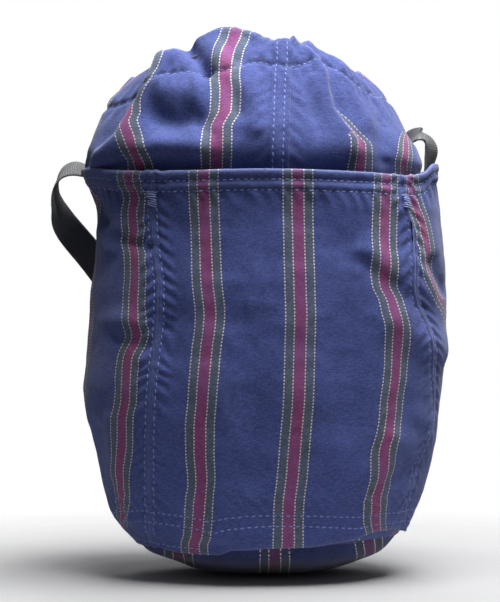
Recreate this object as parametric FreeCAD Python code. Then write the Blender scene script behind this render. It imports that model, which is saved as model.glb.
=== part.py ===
import FreeCAD, Part
import os
import math

os.makedirs("parts", exist_ok=True)
V = FreeCAD.Vector

# Striped cotton drawstring shoulder bag, standing on its base panel.
# Frame: +Z up, front faces -Y, origin at the centre of the flat contact
# face under the base panel.  Millimetres.

# ---------------------------------------------------------------- dimensions
CLOTH = 1.3            # twill, two plies with its seam allowance
HEM_Z = 251.0          # pocket mouth
SEAM_Z = 17.0          # base seam
RIM_Z = 341.0          # rim of the gathered mouth
POCKET_GAP = 8.5       # room between bag wall and pocket cloth, front and back
SIDE_GAP = 12.0        # the same in the side pockets
DEPTH = 0.745          # half depth over half width
FOOT_A, FOOT_B = 38.0, 28.5   # flat contact patch, half axes
SEAM_X = 10.0          # plane of the front and back felled seams
CHAN_LO, CHAN_HI = 319.0, 338.5   # drawcord channel
CHAN_OUT, CHAN_IN = 1.8, 9.2      # channel walls, measured in from outside
CASING_IN = 10.5
WEB_W, WEB_T = 20.0, 1.4          # strap webbing
CORD_D = 3.5
EYE_X = 14.0           # eyelets sit this far each side of the mouth centre
EYE_BORE, EYE_BARREL, EYE_FLANGE = 2.4, 3.6, 6.0
CREST_L = V(-122.0, 8.0, 257.0)   # strap fold points, on the swing axis
CREST_R = V(97.0, 20.0, 281.0)

# half width and centre of the pocket sleeve by height
SLEEVE = [(17.0, 76.9, 0.0), (23.2, 82.8, 0.2), (30.7, 89.3, 0.0),
          (38.2, 94.0, -0.4), (45.8, 96.9, -0.5), (53.3, 99.7, -0.3),
          (68.3, 103.5, 0.3), (83.4, 107.5, 0.0), (106.0, 110.8, -1.0),
          (121.0, 112.0, -0.8), (143.6, 111.6, 0.6), (173.7, 111.1, 1.7),
          (203.8, 109.6, 1.8), (233.9, 110.0, 0.2), (251.0, 112.4, -2.2)]
# half width and centre of the bag wall above the pockets
UPPER = [(251.0, 98.0, -3.5), (258.0, 99.5, -5.0), (264.0, 100.2, -6.6),
         (271.5, 98.9, -8.2), (279.0, 95.3, -9.1), (286.5, 91.2, -9.4),
         (294.1, 86.9, -10.0), (301.6, 81.4, -10.7), (309.1, 75.0, -11.7),
         (316.6, 67.4, -12.4), (324.2, 59.5, -12.6), (331.7, 53.0, -12.8),
         (341.0, 49.0, -13.0)]
MOUTH_CX = -12.8


def lerp(table, z):
    if z <= table[0][0]:
        return table[0][1:]
    for p, q in zip(table, table[1:]):
        if z <= q[0]:
            t = (z - p[0]) / (q[0] - p[0])
            return tuple(p[i] + t * (q[i] - p[i]) for i in (1, 2))
    return table[-1][1:]


def smooth(t):
    t = max(0.0, min(1.0, t))
    return t * t * (3 - 2 * t)


def ell(z, a, cx, b=None, cy=0.0):
    b = DEPTH * a if b is None else b
    e = Part.Ellipse(V(cx, cy, z), max(a, b + 0.01), b)
    return Part.Wire([e.toShape()])


def loft(secs):
    return Part.makeLoft([ell(*s) for s in secs], True, False)


def wall(z, off):
    """Section of the bag's outer wall at z, moved in by off."""
    b0 = DEPTH * 112.4 - CLOTH - POCKET_GAP
    if z <= HEM_Z:
        a, cx = lerp(SLEEVE, z)
        part = smooth((z - 34.0) / 40.0)
        top = smooth((z - 200.0) / 51.0)
        cx = cx + (-3.5 + 2.2) * top
        b = DEPTH * a - CLOTH - POCKET_GAP * part
        a = a - CLOTH - SIDE_GAP * part - (112.4 - CLOTH - SIDE_GAP - 98.0) * top
    else:
        a, cx = lerp(UPPER, z)
        b = b0 * min(1.0, a / 98.0) + 2.0 * smooth((z - 300) / 40.0)
    return (z, a - off, cx, b - off)


WALL_Z = [17, 23, 30, 38, 46, 54, 64, 78, 95, 120, 150, 180, 205, 228, 251,
          262, 272, 282, 292, 302, 311, 319, 327, 334, 341]
wall_out = loft([wall(z, 0.0) for z in WALL_Z])
wall_in = loft([wall(z, CLOTH) for z in WALL_Z])


def sleeve(z, off):
    a, cx = lerp(SLEEVE, z)
    return (z, a - off, cx, DEPTH * a - off)


SL_Z = [17, 23, 30, 38, 46, 54, 68, 84, 106, 121, 144, 174, 204, 234, 251]
sl_out = loft([sleeve(z, 0.0) for z in SL_Z])
sl_in = loft([sleeve(z, CLOTH) for z in SL_Z])


def slab(z0, z1, r=400.0):
    return Part.makeBox(2 * r, 2 * r, z1 - z0, V(-r, -r, z0))


def wedge(a0, a1, z0, z1, r=400.0):
    """Sector between two directions (degrees), less than 180 wide."""
    p = [V(0, 0, z0)]
    n = 4
    for i in range(n + 1):
        t = math.radians(a0 + (a1 - a0) * i / n)
        p.append(V(r * math.cos(t), r * math.sin(t), z0))
    p.append(p[0])
    return Part.Face(Part.makePolygon(p)).extrude(V(0, 0, z1 - z0))


nodes = {}

# ---------------------------------------------------------------- base panel
BASE = [(0.0, FOOT_A, 0.0, FOOT_B), (1.6, 43.5, 0.1, 32.6), (4.0, 49.5, 0.1, 37.0),
        (8.0, 58.0, 0.1, 43.3), (12.5, 68.4, 0.1, 51.0), (17.0, 76.9, 0.0, 57.3)]
b_out = loft(BASE)
b_in = loft([(z + 1.5 if z < 16 else 17.01, a - 1.9, cx, b - 1.9) for z, a, cx, b in BASE])
nodes["base_panel"] = b_out.cut(b_in)

# ------------------------------------------------------------ bag wall halves
shell = wall_out.cut(wall_in)
CAS_Z = [314.5, 319, 327, 334, 341]
cas_in = loft([wall(z, CASING_IN if z > 315 else CLOTH + 0.4) for z in CAS_Z])
cas_blk = wall_out.common(slab(314.5, 341.0)).cut(cas_in)
chan_o = loft([wall(z, CHAN_OUT) for z in (CHAN_LO, 325, 332, CHAN_HI)])
chan_i = loft([wall(z, CHAN_IN) for z in (CHAN_LO - 0.01, 325, 332, CHAN_HI + 0.01)])
channel = chan_o.cut(chan_i)
shell = shell.fuse(cas_blk).cut(channel)

# eyelets: brass, in the back of the casing, axis square to the cloth
zc = 0.5 * (CHAN_LO + CHAN_HI)
_, ca, ccx, cb = wall(zc, 0.5 * (CHAN_OUT + CHAN_IN))
_, oa, ocx, ob = wall(zc, 0.0)
NRM = V(0, math.cos(math.radians(38)), math.sin(math.radians(38)))
eye = []
bores = []
for s in (-1, 1):
    x = ccx + s * EYE_X
    yc = cb * math.sqrt(1 - (s * EYE_X / ca) ** 2)
    c = V(x, yc, zc)
    bar = Part.makeCylinder(EYE_BARREL, 7.0, c + NRM * 1.6, NRM)
    eye.append((c, bar))
    bores.append(bar)
for bar in bores:
    shell = shell.cut(bar)
for k, nm in enumerate(("eyelet_left", "eyelet_right")):
    c, bar = eye[k]
    # distance along the axis at which the outer cloth face is met
    seg = Part.makeLine(c, c + NRM * 20).common(wall_out)
    d = max((p.Point - c).Length for p in seg.Vertexes)
    fl = Part.makeCylinder(EYE_FLANGE, 2.8, c + NRM * (d - 1.8), NRM).cut(wall_out)
    tube = Part.makeCylinder(EYE_BARREL, d + 1.0 - 1.6, c + NRM * 1.6, NRM).cut(chan_o)
    rim = fl.fuse(tube).cut(Part.makeCylinder(EYE_BORE, 30, c - NRM * 6, NRM))
    nodes[nm] = sorted(rim.Solids, key=lambda q: -q.Volume)[0]
    eye[k] = (c, d + 1.0)

left = shell.common(Part.makeBox(400, 800, 400, V(SEAM_X - 400, -400, 0)))
right = shell.common(Part.makeBox(400, 800, 400, V(SEAM_X, -400, 0)))
nodes["body_panel_left"] = left
nodes["body_panel_right"] = right

# ------------------------------------------------------------------- drawcord
ring = []
N = 15
ang0 = math.asin((EYE_X) / ca)
# from the right eyelet, clockwise round the front, to the left eyelet
for i in range(N + 1):
    t = math.pi / 2 - ang0 - (2 * math.pi - 2 * ang0) * i / N
    ring.append(V(ccx + ca * math.cos(t), cb * math.sin(t), zc))
dl, dr = eye[0][1], eye[1][1]
ends = 11.0
route = [ring[0] + NRM * (dr + ends)] + ring + [ring[-1] + NRM * (dl + ends)]
route[1] = eye[1][0]
route[-2] = eye[0][0]


def on_ring(x, side):
    """Point of the channel's centre line at x, on the back half."""
    return V(x, cb * math.sqrt(1 - ((x - ccx) / ca) ** 2), zc)


# a short run next to each eyelet keeps the bend inside the channel
route.insert(2, on_ring(route[1].x + 8.6, 1))
route.insert(-2, on_ring(route[-2].x - 8.6, 1))


def cord_path(pts):
    """Straight runs joined by tangent arcs."""
    edges = []
    radii = []
    prev = pts[0]
    for i in range(1, len(pts) - 1):
        p, q, r = pts[i - 1], pts[i], pts[i + 1]
        u = (p - q).normalize()
        w = (r - q).normalize()
        turn = math.pi - u.getAngle(w)
        short = min((p - q).Length, (r - q).Length)
        rad = 0.45 * short / math.tan(turn / 2)
        tl = 0.45 * short
        a = q + u * tl
        b = q + w * tl
        bis = (u + w).normalize()
        centre = q + bis * (rad / math.cos(turn / 2))
        mid = centre - bis * rad
        if (a - prev).Length > 1e-6:
            edges.append(Part.LineSegment(prev, a).toShape())
        edges.append(Part.Arc(a, mid, b).toShape())
        radii.append(rad)
        prev = b
    edges.append(Part.LineSegment(prev, pts[-1]).toShape())
    return Part.Wire(edges), radii


path, radii = cord_path(route)
prof = Part.Wire([Part.Circle(route[0], (route[1] - route[0]).normalize(), CORD_D / 2).toShape()])
cord = path.makePipeShell([prof], True, False)
print("drawcord radii", [round(r, 1) for r in radii], "length", round(path.Length, 1))
print("drawcord volume", round(cord.Volume, 1), "section x length",
      round(math.pi * (CORD_D / 2) ** 2 * path.Length, 1))
nodes["drawcord"] = cord

# stopper knots seated on the eyelets
knots = []
for (c, d), e in zip(eye, (route[-1], route[0])):
    k = c + NRM * (d + 4.6)
    m = FreeCAD.Matrix()
    ball = Part.makeSphere(4.4, k)
    lobe = Part.makeSphere(3.6, k + NRM * 3.0 + V(1.2, 0, 0))
    kn = ball.fuse(lobe).cut(Part.makeCylinder(CORD_D / 2, 40, c - NRM * 2, NRM))
    knots.append(kn.Solids[0])
nodes["drawcord_knots"] = Part.makeCompound(knots)

# ------------------------------------------------------- inside binding tape
bt = wall_in.common(slab(18.0, 30.0)).cut(
    loft([wall(z, CLOTH + 0.9) for z in (17.5, 20, 23, 26, 30.5)]))
nodes["base_binding_tape"] = bt

# -------------------------------------------------------------------- pockets
band = sl_out.cut(wall_out)
RIB = 3.6              # half width in degrees of each stitched-down seam
POCKETS = [("front_pocket", 221.0, 333.0), ("right_side_pocket", 333.0, 398.0),
           ("back_pocket", 38.0, 142.0), ("left_side_pocket", 142.0, 221.0)]
for nm, a0, a1 in POCKETS:
    s = band.common(wedge(a0, a1, 10, 260))
    void = sl_in.common(wedge(a0 + RIB, a1 - RIB, 36.0, 260)).cut(wall_out)
    nodes[nm] = s.cut(void)

# bar tacks across each pocket seam just under the hem
tacks = []
for a in (221.0, 333.0, 38.0, 142.0):
    t = math.radians(a)
    d = V(math.cos(t), math.sin(t), 0)
    for da in (-RIB - 0.2, RIB + 0.2):
        tt = math.radians(a + da)
        dd = V(math.cos(tt), math.sin(tt), 0)
        # oblong of thread, flat on the cloth
        bx = Part.makeBox(40, 2.2, 9.0, V(90, -1.1, 229))
        bx.rotate(V(0, 0, 0), V(0, 0, 1), a + da)
        ring_o = loft([sleeve(z, -0.8) for z in (226, 232, 240)])
        tk = bx.common(ring_o).cut(sl_out)
        if not tk.Solids:
            # the oblong starts further in on the short axis
            bx = Part.makeBox(90, 2.2, 9.0, V(40, -1.1, 229))
            bx.rotate(V(0, 0, 0), V(0, 0, 1), a + da)
            tk = bx.common(ring_o).cut(sl_out)
        tacks.append(sorted(tk.Solids, key=lambda q: -q.Volume)[0])
nodes["bar_tacks"] = Part.makeCompound(tacks)


# ---------------------------------------------------------------------- strap
def catmull(pts, n):
    out = []
    k = len(pts)
    for i in range(k - 1):
        p0 = pts[max(i - 1, 0)]
        p1, p2 = pts[i], pts[i + 1]
        p3 = pts[min(i + 2, k - 1)]
        for j in range(n):
            t = j / n
            out.append(tuple(
                0.5 * ((2 * p1[c]) + (-p0[c] + p2[c]) * t
                       + (2 * p0[c] - 5 * p1[c] + 4 * p2[c] - p3[c]) * t * t
                       + (-p0[c] + 3 * p1[c] - 3 * p2[c] + p3[c]) * t ** 3)
                for c in range(6)))
    out.append(tuple(pts[-1]))
    return out


def strip(ctrl, n, w=WEB_W, th=WEB_T, ends=(None, None)):
    """Flat webbing through control rows x,y,z, wx,wy,wz (w = width direction)."""
    pts = catmull(ctrl, n)
    ws = []
    for i, p in enumerate(pts):
        a = pts[max(i - 1, 0)]
        b = pts[min(i + 1, len(pts) - 1)]
        t = V(b[0] - a[0], b[1] - a[1], b[2] - a[2]).normalize()
        if i == 0 and ends[0]:
            t = V(*ends[0])
        if i == len(pts) - 1 and ends[1]:
            t = V(*ends[1])
        wd = V(p[3], p[4], p[5])
        wd = (wd - t * wd.dot(t)).normalize()
        nr = t.cross(wd)
        c = V(p[0], p[1], p[2])
        q = [c + wd * (w / 2) + nr * (th / 2), c - wd * (w / 2) + nr * (th / 2),
             c - wd * (w / 2) - nr * (th / 2), c + wd * (w / 2) - nr * (th / 2)]
        ws.append(Part.makePolygon(q + [q[0]]))
    return Part.makeLoft(ws, True, True)


AX = (CREST_R - CREST_L).normalize()
GAP = 0.3
XL, XR = CREST_L.x, CREST_R.x
# sewn ends: up inside the side pockets and over to the fold point
end_l = [(-95.2, 8, 208, 0, 1, 0), (-96.4, 8, 225, 0, 1, 0), (-100.6, 8, 240, 0, 1, 0),
         (-107.4, 8, 251, 0, 1, 0), (-114.6, 8, 256, 0, 1, 0),
         (XL + GAP, 8, 257.0, 0, 1, 0)]
end_r = [(94.8, 20, 208, -0.3, 0.95, 0), (94.2, 20, 226, -0.3, 0.95, 0),
         (96.4, 20, 242, -0.25, 0.96, 0), (101.4, 20, 256, -0.1, 0.99, 0),
         (103.6, 20, 267, 0, 1, 0), (103.2, 20, 275, 0, 1, 0),
         (100.8, 20, 279.6, 0, 1, 0), (XR + GAP, 20, 281.0, 0, 1, 0)]
BACK = (-AX.x, -AX.y, -AX.z)
nodes["strap_end_left"] = strip(end_l, 4, ends=(None, BACK)).cut(wall_out)
nodes["strap_end_right"] = strip(end_r, 4, ends=(None, BACK)).cut(wall_out)
for nm in ("strap_end_left", "strap_end_right"):
    nodes[nm] = sorted(nodes[nm].Solids, key=lambda q: -q.Volume)[0]

# the free loop of webbing, hanging behind the bag
SL0 = V(38.0, 92.0, 84.0)
SL1 = V(66.0, 90.0, 152.0)
loop = [(XL, 8, 257.0, 0, 1, 0), (-127.6, 8.2, 255.4, 0, 1, 0), (-131.2, 9, 248, 0, 1, 0),
        (-131.0, 12, 236, 0.25, 0.95, 0.2), (-126.5, 22, 220, 0.65, 0.65, 0.45),
        (-110.0, 50, 196, 0.83, 0.25, 0.55), (-88.0, 76, 164, 0.82, 0.1, 0.56),
        (-62.0, 91, 122, 0.86, 0.0, 0.5), (-36.0, 93, 82, 0.8, 0, 0.6),
        (-8.0, 93, 58, 0.35, 0, 0.94), (20.0, 93, 61, -0.55, 0, 0.83),
        ] + [(SL0.x + (SL1.x - SL0.x) * k, SL0.y + (SL1.y - SL0.y) * k,
         SL0.z + (SL1.z - SL0.z) * k, -0.92, 0, 0.38) for k in (0, 0.06, 0.5, 0.94, 1)] + [
        (81.0, 80, 200, -0.95, 0.15, 0.25), (88.5, 66, 236, -0.85, 0.5, 0.1),
        (91.8, 47, 259, -0.6, 0.8, 0), (92.4, 30, 275.5, -0.2, 0.98, 0),
        (XR, 20, 281.0, 0, 1, 0)]
nodes["strap_webbing"] = strip(loop, 4, ends=(BACK, (AX.x, AX.y, AX.z)))

# tri-glide on the straight run: two side bars under, centre bar over
run = (SL1 - SL0)
u = V(run.x, run.y, run.z).normalize()
wd = V(-0.92, 0, 0.38)
wd = (wd - u * wd.dot(u)).normalize()
nr = u.cross(wd)
mid = SL0 + run * 0.5


def obox(lu, lw, ln, cu, cw, cn):
    b = Part.makeBox(lu, lw, ln, V(cu - lu / 2, cw - lw / 2, cn - ln / 2))
    m = FreeCAD.Matrix(u.x, wd.x, nr.x, mid.x, u.y, wd.y, nr.y, mid.y,
                       u.z, wd.z, nr.z, mid.z, 0, 0, 0, 1)
    b.transformShape(m)
    return b


rail = 2.6
rl = [obox(22, rail, 5.6, 0, s * (WEB_W / 2 + 0.8 + rail / 2), 0) for s in (-1, 1)]
fr = rl[0].fuse(rl[1])
for cu, cn in ((-9.6, -2.0), (9.6, -2.0), (0.0, 2.0)):
    fr = fr.fuse(obox(2.8, WEB_W + 2.4, 1.6, cu, 0, cn))
nodes["strap_slider"] = fr.removeSplitter()
print("slider axis", [round(c, 5) for c in (u.x, u.y, u.z)])
print("swing axis", [round(c, 5) for c in (AX.x, AX.y, AX.z)])

# ------------------------------------------------------------------ write out
for nm, sh in sorted(nodes.items()):
    if sh.ShapeType != "Compound":
        pass
    sol = sh.Solids
    if len(sol) > 1 and nm not in ("bar_tacks", "drawcord_knots"):
        big = [q for q in sol if q.Volume > 1.0]
        print("  note", nm, "solids", [round(q.Volume, 2) for q in sol])
        sh = big[0] if len(big) == 1 else Part.makeCompound(big)
    elif len(sol) == 1:
        sh = sol[0]
    bb = sh.BoundBox
    print("%-20s solids %d valid %s vol %9.1f  x %.1f..%.1f y %.1f..%.1f z %.1f..%.1f" % (
        nm, len(sh.Solids), sh.isValid(), sh.Volume, bb.XMin, bb.XMax, bb.YMin,
        bb.YMax, bb.ZMin, bb.ZMax))
    sh.exportStep("parts/%s.step" % nm)
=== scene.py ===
import bpy
import math
import numpy as np
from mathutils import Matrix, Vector


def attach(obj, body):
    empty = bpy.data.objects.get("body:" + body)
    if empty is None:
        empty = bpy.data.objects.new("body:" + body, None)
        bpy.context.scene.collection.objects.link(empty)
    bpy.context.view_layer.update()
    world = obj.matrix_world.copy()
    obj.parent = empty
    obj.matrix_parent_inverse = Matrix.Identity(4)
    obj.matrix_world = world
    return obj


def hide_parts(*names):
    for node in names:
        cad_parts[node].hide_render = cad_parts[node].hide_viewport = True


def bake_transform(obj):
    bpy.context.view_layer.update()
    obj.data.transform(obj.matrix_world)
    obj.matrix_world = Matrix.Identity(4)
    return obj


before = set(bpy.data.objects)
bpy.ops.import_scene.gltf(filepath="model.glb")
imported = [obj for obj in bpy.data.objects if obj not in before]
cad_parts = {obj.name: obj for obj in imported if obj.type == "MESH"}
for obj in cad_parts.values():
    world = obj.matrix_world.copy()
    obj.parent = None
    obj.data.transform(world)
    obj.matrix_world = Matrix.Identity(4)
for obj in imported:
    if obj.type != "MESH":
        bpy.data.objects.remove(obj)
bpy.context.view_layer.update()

MM = 0.001

# ------------------------------------------------------------------ camera
LENS = 120.0
K = 0.627                      # millimetres per image column at the bag's middle
DIST = LENS / 36.0 * 602 * K   # camera distance in mm
CX, CZ = -9.1, 170.5

cam_data = bpy.data.cameras.new("camera")
cam_data.lens = LENS
cam_data.sensor_width = 36.0
cam_data.sensor_height = 36.0
cam_data.clip_end = 50
cam = bpy.data.objects.new("camera", cam_data)
bpy.context.scene.collection.objects.link(cam)
cam.location = (CX * MM, -DIST * MM, CZ * MM)
cam.rotation_euler = (math.radians(90), 0, 0)
bpy.context.scene.camera = cam


def project(P):
    """Frame coordinates (column, row) of points in mm."""
    s = DIST / (DIST + P[..., 1])
    return 250 + (P[..., 0] - CX) * s / K, 301 - (P[..., 2] - CZ) * s / K


# ------------------------------------------------------------------ helpers
def hsh(ix, iy, seed):
    n = np.sin(ix * 127.1 + iy * 311.7 + seed * 74.7) * 43758.5453
    return n - np.floor(n)


def vnoise(x, y, seed=0, wrap=None):
    """Smooth lattice noise, -1..1. wrap is the number of cells round x."""
    ix, iy = np.floor(x), np.floor(y)
    fx, fy = x - ix, y - iy
    fx = fx * fx * fx * (fx * (fx * 6 - 15) + 10)
    fy = fy * fy * fy * (fy * (fy * 6 - 15) + 10)
    w = (lambda q: np.mod(q, wrap)) if wrap else (lambda q: q)
    a = hsh(w(ix), iy, seed)
    b = hsh(w(ix + 1), iy, seed)
    c = hsh(w(ix), iy + 1, seed)
    d = hsh(w(ix + 1), iy + 1, seed)
    return 2 * (a + (b - a) * fx + (c - a) * fy + (a - b - c + d) * fx * fy) - 1


def sm(t):
    t = np.clip(t, 0, 1)
    return t * t * (3 - 2 * t)


def pinterp(x, knots):
    """Smooth curve through (x, y) knots."""
    k = np.array(knots, float)
    xs, ys = k[:, 0], k[:, 1]
    x = np.clip(x, xs[0], xs[-1])
    h = np.diff(xs)
    dl = np.diff(ys) / h
    m = np.zeros(len(xs))
    m[1:-1] = np.where(dl[:-1] * dl[1:] > 0, 2 * dl[:-1] * dl[1:] / (dl[:-1] + dl[1:] + 1e-12), 0)
    m[0], m[-1] = dl[0], dl[-1]
    i = np.clip(np.searchsorted(xs, x) - 1, 0, len(h) - 1)
    t = (x - xs[i]) / h[i]
    return ((2 * t ** 3 - 3 * t ** 2 + 1) * ys[i] + (t ** 3 - 2 * t ** 2 + t) * h[i] * m[i]
            + (-2 * t ** 3 + 3 * t ** 2) * ys[i + 1] + (t ** 3 - t ** 2) * h[i] * m[i + 1])


def seg_dist(U, W, line):
    """Distance to a polyline and the signed side (positive on its right as it runs down)."""
    best = np.full(U.shape, 1e9)
    side = np.zeros(U.shape)
    for (x0, y0), (x1, y1) in zip(line, line[1:]):
        dx, dy = x1 - x0, y1 - y0
        t = np.clip(((U - x0) * dx + (W - y0) * dy) / (dx * dx + dy * dy), 0, 1)
        d = np.hypot(U - x0 - t * dx, W - y0 - t * dy)
        cr = (dx * (W - y0) - dy * (U - x0)) / math.hypot(dx, dy)
        up = d < best
        best = np.where(up, d, best)
        side = np.where(up, -cr, side)
    return best, side


def ridge(U, W, line, amp, w):
    d, _ = seg_dist(U, W, line)
    return amp * np.exp(-(d / w) ** 2)


def lap(U, W, line, amp, w, reach, fade=1):
    """A fold: the ground on the line's positive side stands amp higher and eases back over reach."""
    d, s = seg_dist(U, W, line)
    s = np.where(np.abs(s) > d, np.sign(s) * d, s)
    end = np.exp(-(np.maximum(d - np.abs(s), 0) / (10.0 * fade)) ** 2)
    hi = 1 / (1 + np.exp(-np.clip(s / w, -30, 30)))
    return amp * (hi * np.exp(-np.maximum(s, 0) / reach) - 0.35 * (1 - hi) * np.exp(np.minimum(s, 0) / (reach * 0.5))) * end


def normals(P, wrap):
    if wrap:
        du = np.roll(P, -1, 1) - np.roll(P, 1, 1)
    else:
        du = np.gradient(P, axis=1)
    dv = np.gradient(P, axis=0)
    n = np.cross(du, dv)
    return n / (np.linalg.norm(n, axis=2, keepdims=True) + 1e-9)


def arclen(P, wrap=False):
    """Length along columns direction (axis 1)."""
    d = np.linalg.norm(np.diff(P, axis=1), axis=2)
    return np.concatenate([np.zeros((P.shape[0], 1)), np.cumsum(d, axis=1)], axis=1)


def make(name, verts, faces, uv=None, mat=None, smooth=True, extra=None):
    me = bpy.data.meshes.new(name)
    me.from_pydata((np.asarray(verts) * MM).tolist(), [], faces)
    me.validate()
    me.update()
    if uv is not None:
        lay = me.uv_layers.new(name="cloth")
        idx = np.empty(len(me.loops), np.int32)
        me.loops.foreach_get("vertex_index", idx)
        lay.data.foreach_set("uv", np.asarray(uv, np.float32)[idx].ravel())
    for k, v in (extra or {}).items():
        at = me.attributes.new(k, "FLOAT", "POINT")
        at.data.foreach_set("value", np.asarray(v, np.float32))
    if smooth:
        me.polygons.foreach_set("use_smooth", np.ones(len(me.polygons), bool))
    if mat:
        me.materials.append(mat)
    ob = bpy.data.objects.new(name, me)
    bpy.context.scene.collection.objects.link(ob)
    return ob


# ---------------------------------------------------------------- materials
def rgb(r, g, b):
    f = lambda c: c / 255 / 12.92 if c / 255 <= 0.04045 else ((c / 255 + 0.055) / 1.055) ** 2.4
    return (f(r), f(g), f(b), 1)


class Tree:
    def __init__(self, name):
        self.m = bpy.data.materials.new(name)
        self.m.use_nodes = True
        self.t = self.m.node_tree
        self.t.nodes.clear()
        self.out = self.t.nodes.new("ShaderNodeOutputMaterial")
        self.b = self.t.nodes.new("ShaderNodeBsdfPrincipled")
        self.t.links.new(self.b.outputs[0], self.out.inputs[0])

    def put(self, sock, val):
        if isinstance(val, bpy.types.NodeSocket):
            self.t.links.new(val, sock)
        else:
            sock.default_value = val

    def math(self, op, a, b=0.0, c=None):
        n = self.t.nodes.new("ShaderNodeMath")
        n.operation = op
        self.put(n.inputs[0], a)
        self.put(n.inputs[1], b)
        if c is not None:
            self.put(n.inputs[2], c)
        return n.outputs[0]

    def mix(self, f, a, b, mode="MIX"):
        n = self.t.nodes.new("ShaderNodeMix")
        n.data_type = "RGBA"
        n.blend_type = mode
        self.put(n.inputs[0], f)
        self.put(n.inputs[6], a)
        self.put(n.inputs[7], b)
        return n.outputs[2]

    def noise(self, vec, scale, detail=3.0, rough=0.55):
        n = self.t.nodes.new("ShaderNodeTexNoise")
        if vec is not None:
            self.t.links.new(vec, n.inputs["Vector"])
        n.inputs["Scale"].default_value = scale
        n.inputs["Detail"].default_value = detail
        n.inputs["Roughness"].default_value = rough
        return n.outputs["Fac"]

    def ramp(self, fac, stops, constant=False):
        n = self.t.nodes.new("ShaderNodeValToRGB")
        n.color_ramp.interpolation = "CONSTANT" if constant else "LINEAR"
        el = n.color_ramp.elements
        while len(el) < len(stops):
            el.new(0.5)
        for e, (p, c) in zip(el, sorted(stops)):
            e.position = p
            e.color = c if len(c) == 4 else (*c, 1)
        self.put(n.inputs[0], fac)
        return n.outputs[0]

    def comb(self, x, y, z=0.0):
        n = self.t.nodes.new("ShaderNodeCombineXYZ")
        for s, v in zip(n.inputs, (x, y, z)):
            self.put(s, v)
        return n.outputs[0]

    def uv(self):
        n = self.t.nodes.new("ShaderNodeUVMap")
        n.uv_map = "cloth"
        s = self.t.nodes.new("ShaderNodeSeparateXYZ")
        self.t.links.new(n.outputs[0], s.inputs[0])
        return n.outputs[0], s.outputs[0], s.outputs[1]

    def attr(self, name):
        n = self.t.nodes.new("ShaderNodeAttribute")
        n.attribute_name = name
        return n.outputs["Fac"]

    def pos(self):
        n = self.t.nodes.new("ShaderNodeTexCoord")
        return n.outputs["Object"]

    def bump(self, height, strength, dist):
        n = self.t.nodes.new("ShaderNodeBump")
        n.inputs["Strength"].default_value = strength
        n.inputs["Distance"].default_value = dist
        self.t.links.new(height, n.inputs["Height"])
        self.t.links.new(n.outputs[0], self.b.inputs["Normal"])

    def done(self, color, rough, **kw):
        self.put(self.b.inputs["Base Color"], color)
        self.put(self.b.inputs["Roughness"], rough)
        for k, v in kw.items():
            self.put(self.b.inputs[k.replace("_", " ")], v)
        return self.m


NAVY_A, NAVY_B = rgb(84, 97, 160), rgb(50, 62, 118)
WINE_A, WINE_B = rgb(156, 80, 132), rgb(116, 58, 102)
SLATE_A, SLATE_B = rgb(104, 112, 128), rgb(66, 76, 94)
CREAM = rgb(238, 232, 220)
PITCH = 58.0


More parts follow.
